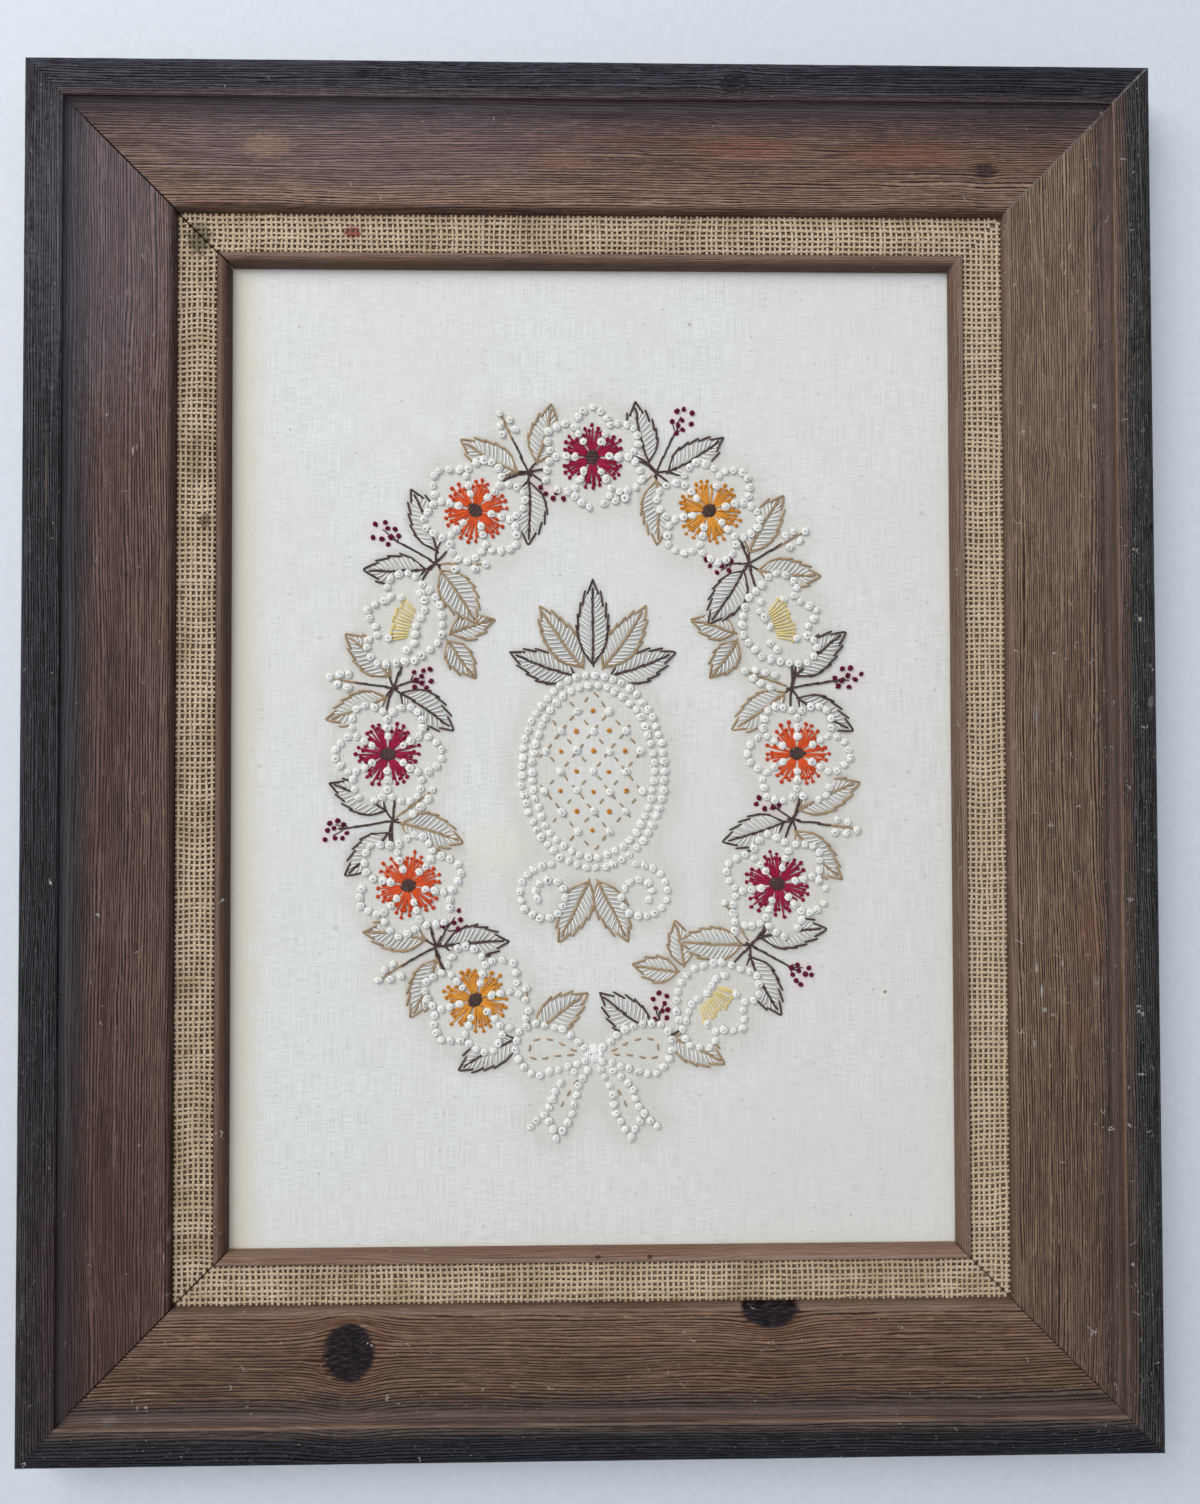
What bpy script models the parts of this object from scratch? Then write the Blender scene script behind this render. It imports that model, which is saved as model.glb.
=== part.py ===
"""Framed candlewick embroidery, lying face up on its back.

Four mitred rails of one wide wooden moulding, a woven burlap strip in the channel of each rail,
and an embroidered cotton cloth held in the rebate behind the rails. Metres, +Z up. The origin is
on the surface that the frame lies on, under its middle, and +Y points to the top of the picture.
"""

import math

import bmesh
import bpy

# The visible cloth, and the width of the moulding's face around it
SIGHT_WIDTH = 0.292
SIGHT_HEIGHT = 0.395
FACE_WIDTH = 0.0785

# The section of the moulding, as distances in from its outer side and heights above its back
LIP_WIDTH = 0.0165
LIP_TOP = 0.0280
LIP_SHOULDER = 0.0205
LIP_ROUND = 0.0065
LIP_INNER_TOP = 0.0262
LIP_EDGE_ROUND = 0.0008
QUIRK_DEPTH = 0.0009
COVE_WIDTH = 0.0036
PANEL_OUTER_TOP = 0.0202
PANEL_END = 0.0555
PANEL_INNER_TOP = 0.0186
CHANNEL_START = 0.0575
STEP_DROP = 0.0034
CHANNEL_BED = 0.0130
CHANNEL_WIDTH = 0.0162
FILLET_TOP = 0.0160
FILLET_EDGE_ROUND = 0.0010
FILLET_FLAT = 0.0016
SIGHT_EDGE_TOP = 0.0112

# The rebate that holds the cloth
LEDGE = 0.0095
LEDGE_WIDTH = 0.0065

# Soft pieces
BURLAP_THICKNESS = 0.0010
CLOTH_THICKNESS = 0.0020
CLOTH_EDGE_PLAY = 0.0005
CLOTH_CELLS = (14, 19)
PUCKER = 0.00030
PUCKER_WAVES = (5.3, 7.1)

# Clearances between neighbours
SEAT_GAP = 0.0003
MITRE_GAP = 0.0003

# Points in a quarter turn of a rounded edge
ARC_STEPS = 6

HALF_WIDTH = SIGHT_WIDTH / 2 + FACE_WIDTH
HALF_HEIGHT = SIGHT_HEIGHT / 2 + FACE_WIDTH

# Each side of the frame: the way out from the middle, and how far out its outer face and its two
# outer corners lie
SIDES = {
    "top": {"outward": (0, 1), "reach": HALF_HEIGHT, "half_length": HALF_WIDTH},
    "bottom": {"outward": (0, -1), "reach": HALF_HEIGHT, "half_length": HALF_WIDTH},
    "left": {"outward": (-1, 0), "reach": HALF_WIDTH, "half_length": HALF_HEIGHT},
    "right": {"outward": (1, 0), "reach": HALF_WIDTH, "half_length": HALF_HEIGHT},
}


def clear_scene():
    for old in list(bpy.data.objects):
        bpy.data.objects.remove(old, do_unlink=True)


def finish(name, colour, roughness):
    """A plain Principled material."""
    material = bpy.data.materials.new(name)
    material.use_nodes = True
    shader = material.node_tree.nodes["Principled BSDF"]
    shader.inputs["Base Color"].default_value = (*colour, 1.0)
    shader.inputs["Roughness"].default_value = roughness
    shader.inputs["Metallic"].default_value = 0.0
    material.diffuse_color = (*colour, 1.0)
    return material


def arc(centre, radii, start, end, steps=ARC_STEPS):
    """Points (in, up) on an ellipse, from one angle to another in degrees."""
    angles = [math.radians(start + (end - start) * i / steps) for i in range(steps + 1)]
    return [
        (centre[0] + radii[0] * math.cos(a), centre[1] + radii[1] * math.sin(a)) for a in angles
    ]


def lip():
    """The raised outer lip: a broad rounded shoulder, a nearly flat top and a small inner round."""
    shoulder = arc(
        (LIP_ROUND, LIP_SHOULDER), (LIP_ROUND, LIP_TOP - LIP_SHOULDER), 180, 90, 2 * ARC_STEPS
    )
    inner_edge = arc(
        (LIP_WIDTH - LIP_EDGE_ROUND, LIP_INNER_TOP - LIP_EDGE_ROUND),
        (LIP_EDGE_ROUND, LIP_EDGE_ROUND),
        90,
        0,
        ARC_STEPS // 2,
    )
    return shoulder + inner_edge


def cove():
    """The quirk under the lip and the hollow that runs down from it to the panel."""
    top = LIP_INNER_TOP - LIP_EDGE_ROUND - QUIRK_DEPTH
    hollow = arc(
        (LIP_WIDTH + COVE_WIDTH, top), (COVE_WIDTH, top - PANEL_OUTER_TOP), 180, 270
    )
    return hollow


def panel_step():
    """The panel's inner edge, rounded down into the burlap channel."""
    radii = (CHANNEL_START - PANEL_END, STEP_DROP)
    return arc((PANEL_END, PANEL_INNER_TOP - STEP_DROP), radii, 90, 0)


def fillet():
    """The narrow bead between the burlap and the cloth, sloping down to the sight edge."""
    start = CHANNEL_START + CHANNEL_WIDTH
    edge = arc(
        (start + FILLET_EDGE_ROUND, FILLET_TOP - FILLET_EDGE_ROUND),
        (FILLET_EDGE_ROUND, FILLET_EDGE_ROUND),
        180,
        90,
        ARC_STEPS // 2,
    )
    slope_start = start + FILLET_EDGE_ROUND + FILLET_FLAT
    slope = arc(
        (slope_start, SIGHT_EDGE_TOP),
        (FACE_WIDTH - slope_start, FILLET_TOP - SIGHT_EDGE_TOP),
        90,
        0,
    )
    return edge + slope


def moulding_section():
    """The closed outline of a rail, from the back's outer corner over the face to the rebate."""
    bed = [(CHANNEL_START, CHANNEL_BED), (CHANNEL_START + CHANNEL_WIDTH, CHANNEL_BED)]
    rebate = [
        (FACE_WIDTH, LEDGE),
        (FACE_WIDTH - LEDGE_WIDTH, LEDGE),
        (FACE_WIDTH - LEDGE_WIDTH, 0.0),
    ]
    return [(0.0, 0.0)] + lip() + cove() + panel_step() + bed + fillet() + rebate


def burlap_section():
    """The closed outline of a burlap strip, lying in the channel."""
    low = CHANNEL_BED + SEAT_GAP
    near = CHANNEL_START + SEAT_GAP
    far = CHANNEL_START + CHANNEL_WIDTH - SEAT_GAP
    high = low + BURLAP_THICKNESS
    return [(near, low), (near, high), (far, high), (far, low)]


def new_object(name, mesh_builder, material):
    """Turns a bmesh into a named object with one material and smooth rounded edges."""
    bmesh.ops.recalc_face_normals(mesh_builder, faces=mesh_builder.faces)
    mesh = bpy.data.meshes.new(name)
    mesh_builder.to_mesh(mesh)
    mesh_builder.free()
    mesh.materials.append(material)
    mesh.shade_smooth()
    mesh.set_sharp_from_angle(angle=math.radians(35))
    made = bpy.data.objects.new(name, mesh)
    bpy.context.scene.collection.objects.link(made)
    return made


def mitred_bar(name, section, side, material):
    """Sweeps a section along one side of the frame, cut at both ends just short of the mitres."""
    out_x, out_y = side["outward"]
    along_x, along_y = -out_y, out_x
    set_back = MITRE_GAP / 2 * math.sqrt(2)
    bar = bmesh.new()
    ends = []
    for way in (-1, 1):
        ring = []
        for inward, height in section:
            out = side["reach"] - inward
            along = way * (side["half_length"] - inward - set_back)
            ring.append(
                bar.verts.new((out_x * out + along_x * along, out_y * out + along_y * along, height))
            )
        bar.faces.new(ring)
        ends.append(ring)
    first, last = ends
    for i in range(len(section)):
        j = (i + 1) % len(section)
        bar.faces.new((first[i], first[j], last[j], last[i]))
    return new_object(name, bar, material)


def pucker(across, up):
    """How far the stretched cloth stands off its flat, for places from -1 to 1 across and up."""
    held_flat = math.cos(across * math.pi / 2) * math.cos(up * math.pi / 2)
    wave = math.sin(PUCKER_WAVES[0] * across + 1.0) * math.cos(PUCKER_WAVES[1] * up + 0.4)
    return PUCKER * held_flat * wave


def cloth(name, material):
    """The cotton sheet, in the rebate just behind the ledge, slightly drawn by its stitches."""
    half_x = SIGHT_WIDTH / 2 + LEDGE_WIDTH - CLOTH_EDGE_PLAY
    half_y = SIGHT_HEIGHT / 2 + LEDGE_WIDTH - CLOTH_EDGE_PLAY
    top = LEDGE - SEAT_GAP
    sheet = bmesh.new()
    bmesh.ops.create_grid(sheet, x_segments=CLOTH_CELLS[0], y_segments=CLOTH_CELLS[1], size=1.0)
    face = bmesh.ops.extrude_face_region(sheet, geom=list(sheet.faces))
    lifted = {item for item in face["geom"] if isinstance(item, bmesh.types.BMVert)}
    for vert in sheet.verts:
        across, up = vert.co.x, vert.co.y
        level = top - CLOTH_THICKNESS
        if vert in lifted:
            level = top
            if abs(across) < SIGHT_WIDTH / 2 / half_x and abs(up) < SIGHT_HEIGHT / 2 / half_y:
                level += pucker(across, up)
        vert.co = (across * half_x, up * half_y, level)
    return new_object(name, sheet, material)


def build():
    clear_scene()
    wood = finish("brushed_wood", (0.085, 0.052, 0.038), 0.62)
    burlap = finish("burlap", (0.33, 0.26, 0.18), 0.9)
    cotton = finish("cotton", (0.72, 0.70, 0.65), 0.85)
    for side_name, side in SIDES.items():
        mitred_bar("rail_" + side_name, moulding_section(), side, wood)
        mitred_bar("burlap_" + side_name, burlap_section(), side, burlap)
    cloth("embroidered_cloth", cotton)


build()
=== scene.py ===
"""Looks of the framed candlewick embroidery: wire-brushed rails, woven burlap, cotton and stitches.

Lengths are in millimetres until a mesh is made. On a rail, "in" is the distance from its outer
side and "along" runs left to right or bottom to top. On the cloth a place is a complex number,
x to the right and y up, from the middle of the cloth.
"""

import math

import bpy
import numpy as np
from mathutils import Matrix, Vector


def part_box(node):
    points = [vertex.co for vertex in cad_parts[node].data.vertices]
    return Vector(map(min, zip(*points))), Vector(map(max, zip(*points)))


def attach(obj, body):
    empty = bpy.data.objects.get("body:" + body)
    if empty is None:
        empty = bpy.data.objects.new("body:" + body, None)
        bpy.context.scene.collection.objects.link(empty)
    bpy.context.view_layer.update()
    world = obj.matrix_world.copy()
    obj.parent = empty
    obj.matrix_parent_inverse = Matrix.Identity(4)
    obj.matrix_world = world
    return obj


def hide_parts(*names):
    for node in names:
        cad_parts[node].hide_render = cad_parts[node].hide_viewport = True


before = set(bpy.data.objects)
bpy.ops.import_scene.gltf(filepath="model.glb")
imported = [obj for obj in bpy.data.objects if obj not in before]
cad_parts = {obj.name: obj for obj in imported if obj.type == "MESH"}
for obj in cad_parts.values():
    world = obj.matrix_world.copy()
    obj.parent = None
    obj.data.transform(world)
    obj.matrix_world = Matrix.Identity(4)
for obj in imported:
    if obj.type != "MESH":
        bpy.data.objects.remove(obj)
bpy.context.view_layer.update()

MM = 0.001

# Sizes read from the frame
HALF_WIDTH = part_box("rail_right")[1].x / MM
HALF_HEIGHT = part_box("rail_top")[1].y / MM
LIP_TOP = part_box("rail_top")[1].z / MM
CLOTH_HALF = (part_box("embroidered_cloth")[1].x / MM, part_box("embroidered_cloth")[1].y / MM)

# The moulding's section, the same as the solid rails have
LIP_WIDTH = 16.5
LIP_SHOULDER = 20.5
LIP_ROUND = 6.5
LIP_INNER_TOP = 26.2
LIP_EDGE_ROUND = 0.8
QUIRK_DEPTH = 0.9
COVE_WIDTH = 3.6
PANEL_OUTER_TOP = 20.2
PANEL_END = 55.5
PANEL_INNER_TOP = 18.6
CHANNEL_START = 57.5
STEP_DROP = 3.4
CHANNEL_BED = 13.0
CHANNEL_WIDTH = 16.2
FILLET_TOP = 16.0
FILLET_EDGE_ROUND = 1.0
FILLET_FLAT = 1.6
FACE_WIDTH = 78.5
SIGHT_EDGE_TOP = 11.2
LEDGE = 9.5
LEDGE_WIDTH = 6.5
CLOTH_TOP = 9.2

SIGHT_HALF = (HALF_WIDTH - FACE_WIDTH, HALF_HEIGHT - FACE_WIDTH)


def srgb(red, green, blue):
    """A colour written in 0 to 255 as the linear colour that shaders take."""
    part = np.array([red, green, blue]) / 255
    linear = np.where(part <= 0.04045, part / 12.92, ((part + 0.055) / 1.055) ** 2.4)
    return (*[float(c) for c in linear], 1.0)


def smoothstep(low, high, value):
    t = np.clip((value - low) / (high - low), 0, 1)
    return t * t * (3 - 2 * t)


def value_noise(x, y, seed):
    """Smooth noise from 0 to 1, with one random value for each unit square."""
    table = np.random.default_rng(seed).random((256, 256))
    x, y = np.broadcast_arrays(x, y)
    column, row = np.floor(x).astype(int), np.floor(y).astype(int)
    fx, fy = smoothstep(0, 1, x - column), smoothstep(0, 1, y - row)

    def corner(right, up):
        return table[(column + right) & 255, (row + up) & 255]

    lower = corner(0, 0) * (1 - fx) + corner(1, 0) * fx
    upper = corner(0, 1) * (1 - fx) + corner(1, 1) * fx
    return lower * (1 - fy) + upper * fy


# Meshes


def make_piece(name, points, faces, material, slot, sharp_angle=None, **attributes):
    """A mesh object from arrays of points in millimetres and of faces, riding on the part."""
    mesh = bpy.data.meshes.new(name)
    sizes = np.concatenate([np.full(len(group), group.shape[1]) for group in faces])
    corners = np.concatenate([group.ravel() for group in faces]).astype(np.int32)
    starts = np.concatenate([[0], np.cumsum(sizes)[:-1]]).astype(np.int32)
    mesh.vertices.add(len(points))
    mesh.vertices.foreach_set("co", (points * MM).astype(np.float32).ravel())
    mesh.loops.add(len(corners))
    mesh.loops.foreach_set("vertex_index", corners)
    mesh.polygons.add(len(sizes))
    mesh.polygons.foreach_set("loop_start", starts)
    mesh.update(calc_edges=True)
    for key, values in attributes.items():
        kind = "FLOAT_VECTOR" if values.ndim == 2 else "FLOAT"
        layer = mesh.attributes.new(key, kind, "POINT")
        field = "vector" if values.ndim == 2 else "value"
        layer.data.foreach_set(field, values.astype(np.float32).ravel())
    mesh.materials.append(material)
    mesh.shade_smooth()
    if sharp_angle:
        mesh.set_sharp_from_angle(angle=math.radians(sharp_angle))
    made = bpy.data.objects.new(name, mesh)
    bpy.context.scene.collection.objects.link(made)
    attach(made, "root")
    return made


def strip_faces(rows, columns, closed=False, flip=False):
    """Quads between the rows of a grid of points; closed joins the last row to the first."""
    row = np.arange(rows if closed else rows - 1)[:, None]
    column = np.arange(columns - 1)[None, :]
    after = (row + 1) % rows
    quads = np.stack(
        [
            row * columns + column,
            after * columns + column,
            after * columns + column + 1,
            row * columns + column + 1,
        ],
        axis=-1,
    ).reshape(-1, 4)
    return quads[:, ::-1] if flip else quads


class Yarns:
    """Yarns of one piece, gathered as closed tubes."""

    def __init__(self):
        self.points, self.strands, self.faces, self.total = [], [], {}, 0

    def add(self, lines, radius, sides, flatten=1.0, tint=1.0):
        """Adds tubes along lines, an array (tube, step, xyz)."""
        count, steps, _ = lines.shape
        tangent = np.gradient(lines, axis=1)
        tangent /= np.linalg.norm(tangent, axis=2, keepdims=True)
        side = np.cross(tangent, [0.0, 0.0, 1.0])
        side /= np.maximum(np.linalg.norm(side, axis=2, keepdims=True), 1e-6)
        lift = flatten * np.cross(side, tangent)
        angle = 2 * math.pi * (np.arange(sides) + 0.5) / sides
        radius = np.broadcast_to(radius, (count, steps))[:, :, None, None]
        ring = np.cos(angle)[:, None] * side[:, :, None] + np.sin(angle)[:, None] * lift[:, :, None]
        self.points.append((lines[:, :, None] + radius * ring).reshape(-1, 3))

        # The walls of the tubes and their two ends
        here = np.arange(sides)
        first = self.total + (np.arange(count) * steps * sides)[:, None]
        low = first[:, :, None] + (np.arange(steps - 1) * sides)[:, None]
        beside = low + (here + 1) % sides
        low = low + here
        walls = np.stack([low, low + sides, beside + sides, beside], axis=-1).reshape(-1, 4)
        for found in (walls, first + here, first + (steps - 1) * sides + here[::-1]):
            self.faces.setdefault(found.shape[1], []).append(found)
        self.total += count * steps * sides

        # For the material: the way run along the tube, the share of the way round it, and its tint
        length = np.linalg.norm(np.diff(lines, axis=1), axis=2)
        run = np.concatenate([np.zeros((count, 1)), np.cumsum(length, axis=1)], axis=1)
        shade = tint * value_noise(np.arange(count) * 7.31, 0.5, 5)
        strand = np.broadcast_arrays(run[:, :, None], here / sides, shade[:, None, None])
        self.strands.append(np.stack(strand, axis=-1).reshape(-1, 3))

    def piece(self, name, material, slot):
        faces = [np.concatenate(found) for found in self.faces.values()]
        strand = np.concatenate(self.strands)
        return make_piece(name, np.concatenate(self.points), faces, material, slot, strand=strand)


# Shader nodes


class Signal:
    """What a shader socket puts out. Signals add, subtract and multiply as numbers do."""

    def __init__(self, socket):
        self.socket = socket
        self.tree = socket.id_data

    def __add__(self, other):
        return maths("ADD", self, other)

    def __sub__(self, other):
        return maths("SUBTRACT", self, other)

    def __rsub__(self, other):
        return maths("SUBTRACT", other, self)

    def __mul__(self, other):
        return maths("MULTIPLY", self, other)

    def __abs__(self):
        return maths("ABSOLUTE", self)

    __radd__, __rmul__ = __add__, __mul__


def feed(socket, value):
    """Sets a socket to a signal, a number, or a colour in 0 to 255."""
    if isinstance(value, Signal):
        value.tree.links.new(value.socket, socket)
    else:
        socket.default_value = srgb(*value) if socket.type == "RGBA" else value


def add_node(tree, kind, inputs=(), **settings):
    """A shader node's outputs as signals. Its inputs are named or numbered."""
    node = tree.nodes.new("ShaderNode" + kind)
    for key, value in settings.items():
        setattr(node, key, value)
    for key, value in dict(inputs).items():
        feed(node.inputs[key], value)
    return [Signal(socket) for socket in node.outputs]


def tree_of(*values):
    return next(value.tree for value in values if isinstance(value, Signal))


def maths(operation, *values):
    return add_node(tree_of(*values), "Math", enumerate(values), operation=operation)[0]


def ramp(value, low, high, start=0.0, end=1.0):
    """Takes low to high smoothly to start to end."""
    inputs = enumerate((value, low, high, start, end))
    return add_node(value.tree, "MapRange", inputs, interpolation_type="SMOOTHSTEP")[0]


def mix(factor, first, second, blend="MIX"):
    """Two colours mixed."""
    inputs = {0: factor, 6: first, 7: second}
    tree = tree_of(factor, first)
    return add_node(tree, "Mix", inputs, data_type="RGBA", blend_type=blend)[2]


def separate(vector):
    return add_node(vector.tree, "SeparateXYZ", {0: vector})


def combine(x, y, z=0.0):
    return add_node(x.tree, "CombineXYZ", enumerate((x, y, z)))[0]


def attribute(tree, name):
    """A mesh attribute's three numbers."""
    return separate(add_node(tree, "Attribute", attribute_name=name)[1])


def place(tree):
    """Where the shaded point lies on the object, in metres, and its x and y."""
    where = Signal(tree.nodes.new("ShaderNodeTexCoord").outputs["Object"])
    return where, *separate(where)[:2]


def noise(vector, scale, detail=2.0):
    inputs = {"Vector": vector, "Scale": scale, "Detail": detail}
    return add_node(vector.tree, "TexNoise", inputs)[0]


def marked(colour, where, marks, tone=None):
    """The colour with marks, each a soft, ragged oval: centre and radii, strength and colour."""
    x, y, _ = separate(where)
    for (left, up), (wide, high), strength, mark_colour in marks:
        off = combine(x * (1 / (wide * MM)) - left / wide, y * (1 / (high * MM)) - up / high)
        far = add_node(off.tree, "VectorMath", {0: off}, operation="LENGTH")[1]
        inside = ramp(far + 1.2 * noise(where, 420.0) - 0.6, 1.25, 0.5, 0.0, strength)
        if tone:
            mark_colour = mix(tone, [0.66 * part for part in mark_colour], mark_colour)
        colour = mix(inside, colour, mark_colour)
    return colour


def off_mitre(x, y):
    """How far a place is from the nearest mitre, measured along a rail."""
    return abs(abs(x) - abs(y) + (HALF_HEIGHT - HALF_WIDTH) * MM)


def new_material(name, roughness, specular=0.5):
    """A Principled material and its tree."""
    material = bpy.data.materials.new(name)
    material.use_nodes = True
    inputs = material.node_tree.nodes["Principled BSDF"].inputs
    inputs["Roughness"].default_value = roughness
    inputs["Specular IOR Level"].default_value = specular
    return material, material.node_tree


def painted(material, colour, height=None, relief=0.0, roughness=None):
    """The material with its colour, and its height over a relief in millimetres."""
    inputs = material.node_tree.nodes["Principled BSDF"].inputs
    feed(inputs["Base Color"], colour)
    if height:
        bump = {"Height": height, "Distance": relief * MM, "Strength": 1.0}
        feed(inputs["Normal"], add_node(height.tree, "Bump", bump)[0])
    if roughness:
        feed(inputs["Roughness"], roughness)
    return material


# Rails

SIDES = ("top", "bottom", "left", "right")
COVE_TOP = LIP_INNER_TOP - LIP_EDGE_ROUND - QUIRK_DEPTH

# Each stretch of the section: how far its grain is brushed out, the spacing of its points, how
# charcoal it is at its start and its end, where over 1 is the lip's deeper black, how worn it is,
# which also carries painted light on the lit rails, and how bare it is. Each rail has its own
# charcoal from the lip to the panel.
STRETCHES = {
    "side": (0.3, 0.9, (1.5, 1.5), 0.0, 0.0),
    "lip": (0.3, 0.42, (1.5, 1.5), 0.0, 0.0),
    "edge": (0.08, 0.3, (0.6, 0.7), 0.7, 0.0),
    "cove": (0.03, 0.7, (0.75, 0.75), 0.0, 0.0),
    "panel": (0.25, 0.36, (1.0, 0.0), 0.0, 0.0),
    "step": (0.05, 0.6, (0.1, 0.3), 0.35, 0.0),
    "bed": (0.0, 8.0, (-1.0, -1.0), 0.0, 0.3),
    "fillet": (0.05, 0.5, (-0.3, 0.1), 0.8, 0.0),
    "back": (0.06, 6.0, (0.0, 0.0), 0.0, 1.0),
}


def by_side(**rows):
    """A table for each side, from rows that have a column for each side."""
    return {side: {key: row[i] for key, row in rows.items()} for i, side in enumerate(SIDES)}


def arc(centre, radii, start, end, steps=10):
    """Points (in, up) on an ellipse, from one angle to another in degrees."""
    angle = np.radians(np.linspace(start, end, steps + 1))
    return [
        (centre[0] + radii[0] * math.cos(a), centre[1] + radii[1] * math.sin(a)) for a in angle
    ]


def section():
    """The rail's outline as stretches of (in, up) points, from the back's outer corner."""
    bead_start = CHANNEL_START + CHANNEL_WIDTH
    slope_start = bead_start + FILLET_EDGE_ROUND + FILLET_FLAT
    edge, bead = LIP_EDGE_ROUND, FILLET_EDGE_ROUND
    shoulder = arc((LIP_ROUND, LIP_SHOULDER), (LIP_ROUND, LIP_TOP - LIP_SHOULDER), 180, 90)
    lip_edge = arc((LIP_WIDTH - edge, LIP_INNER_TOP - edge), (edge, edge), 90, 0)
    cove_radii = (COVE_WIDTH, COVE_TOP - PANEL_OUTER_TOP)
    cove = arc((LIP_WIDTH + COVE_WIDTH, COVE_TOP), cove_radii, 180, 270)
    step_radii = (CHANNEL_START - PANEL_END, STEP_DROP)
    step = arc((PANEL_END, PANEL_INNER_TOP - STEP_DROP), step_radii, 90, 0)
    slope_radii = (FACE_WIDTH - slope_start, FILLET_TOP - SIGHT_EDGE_TOP)
    fillet = arc((bead_start + bead, FILLET_TOP - bead), (bead, bead), 180, 90)
    fillet += arc((slope_start, SIGHT_EDGE_TOP), slope_radii, 90, 0)
    rebate = FACE_WIDTH - LEDGE_WIDTH
    return [
        ("side", [(0, 0), (0, LIP_SHOULDER)]),
        ("lip", shoulder + [lip_edge[0]]),
        ("edge", lip_edge + [cove[0]]),
        ("cove", cove),
        ("panel", [cove[-1], step[0]]),
        ("step", step + [(CHANNEL_START, CHANNEL_BED)]),
        ("bed", [(CHANNEL_START, CHANNEL_BED), (bead_start, CHANNEL_BED)]),
        ("fillet", [(bead_start, CHANNEL_BED)] + fillet + [(FACE_WIDTH, LEDGE)]),
        ("back", [(FACE_WIDTH, LEDGE), (rebate, LEDGE), (rebate, 0), (0, 0)]),
    ]


def walk(points, spacing):
    """Points evenly spaced along a line, without its last one, and their share of the way."""
    points = np.asarray(points, float)
    far = np.concatenate([[0], np.cumsum(np.hypot(*np.diff(points, axis=0).T))])
    count = max(1, round(far[-1] / spacing))
    at = np.linspace(0, far[-1], count + 1)[:-1]
    keep = np.unique(np.concatenate([at, far[:-1]]).round(4)) if spacing > 3 else at
    found = np.stack([np.interp(keep, far, points[:, i]) for i in (0, 1)], axis=1)
    return found, keep / far[-1]


def rail_section():
    """Arrays over the section: place, outward normal, girth, brushing, and the finish."""
    rows, looks = [], []
    for name, points in section():
        brushed, spacing, (first, last), worn, bare = STRETCHES[name]
        found, share = walk(points, spacing)
        rows.append(found)
        looks += [(brushed, first + (last - first) * part, worn, bare) for part in share]
    spot, looks = np.concatenate(rows), np.array(looks)
    tangent = np.roll(spot, -1, axis=0) - np.roll(spot, 1, axis=0)
    tangent /= np.linalg.norm(tangent, axis=1, keepdims=True)
    normal = np.stack([-tangent[:, 1], tangent[:, 0]], axis=1)
    girth = np.concatenate([[0], np.cumsum(np.hypot(*np.diff(spot, axis=0).T))])
    brushed = looks[:, 0]
    soft = np.minimum(brushed, np.minimum(np.roll(brushed, 1), np.roll(brushed, -1)))
    return spot, normal, girth, (brushed + soft) / 2, looks[:, 1:]


# Knots in the wood: along and in, their radii along and across, and how dark they are
KNOTS = {
    "top": [(159.0, 40.5, (4.2, 2.9), 0.7), (56.7, 10.5, (6.0, 3.6), 0.8)],
    "bottom": [(-96.4, 41.0, (10.3, 11.3), 1.0), (69.3, 57.0, (11.5, 8.2), 1.0)],
    "left": [(71.8, 39.5, (2.2, 1.8), 0.35), (-143.0, 31.0, (2.6, 1.8), 0.3)],
    "right": [(118.0, 44.0, (3.2, 2.6), 0.25), (-62.0, 30.0, (2.4, 2.0), 0.3)],
}

# Each rail: the way out, how far out its side and its corners lie, how far each end stands back
# from its mitre, lower or left end first, the pitch of its grain and how far that wanders, the
# charcoal at the lip's inner side, in the cove and beside it, how far over the panel that fades,
# how worn the lip's edge is together with its painted highlight on the lit rails, how far in its
# smooth patches lie, their length and width, and how much painted light brightens its step
RAILS = by_side(
    outward=((0, 1), (0, -1), (-1, 0), (1, 0)),
    reach=(HALF_HEIGHT, HALF_HEIGHT, HALF_WIDTH, HALF_WIDTH),
    half=(HALF_WIDTH, HALF_WIDTH, HALF_HEIGHT, HALF_HEIGHT),
    ends=((0.60, 0.12), (0.42, 0.14), (0.42, 0.50), (0.14, 0.12)),
    seed=(20, 40, 60, 80),
    line=(0.95, 1.25, 1.00, 0.90),
    drift=(2.4, 6.5, 2.6, 2.6),
    lip_soot=(1.1, 0.8, 1.5, 0.6),
    cove_soot=(0.8, 0.2, 1.0, 0.3),
    edge_worn=(0.1, 0.9, 0.0, 1.0),
    panel_soot=(0.95, 0.9, 1.0, 0.75),
    soot_width=(13.0, 8.0, 9.0, 7.0),
    calm=(31.0, 50.0, 36.0, 27.0),
    patch=((62.0, 8.0), (40.0, 4.0), (30.0, 3.2), (30.0, 4.0)),
    step_worn=(0.35, 0.9, 0.2, 0.9),
)

# The spacing of a rail's points along it, their spacing at a large knot, the radius that makes a
# knot large and how far the finer spacing reaches
STATION = 3.2
STATION_NEAR_KNOT = 1.1
LARGE_KNOT = 4
NEAR_KNOT = 16

# The mitres are nearly shut on the lip and open over this width beyond it
SHUT = 0.15
SHUT_TO_OPEN = 10.0

# How much finer the grain is on the lip, and how deep a dark knot has sunk
LIP_FINER = 1.1
KNOT_SUNK = 0.25


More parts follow.
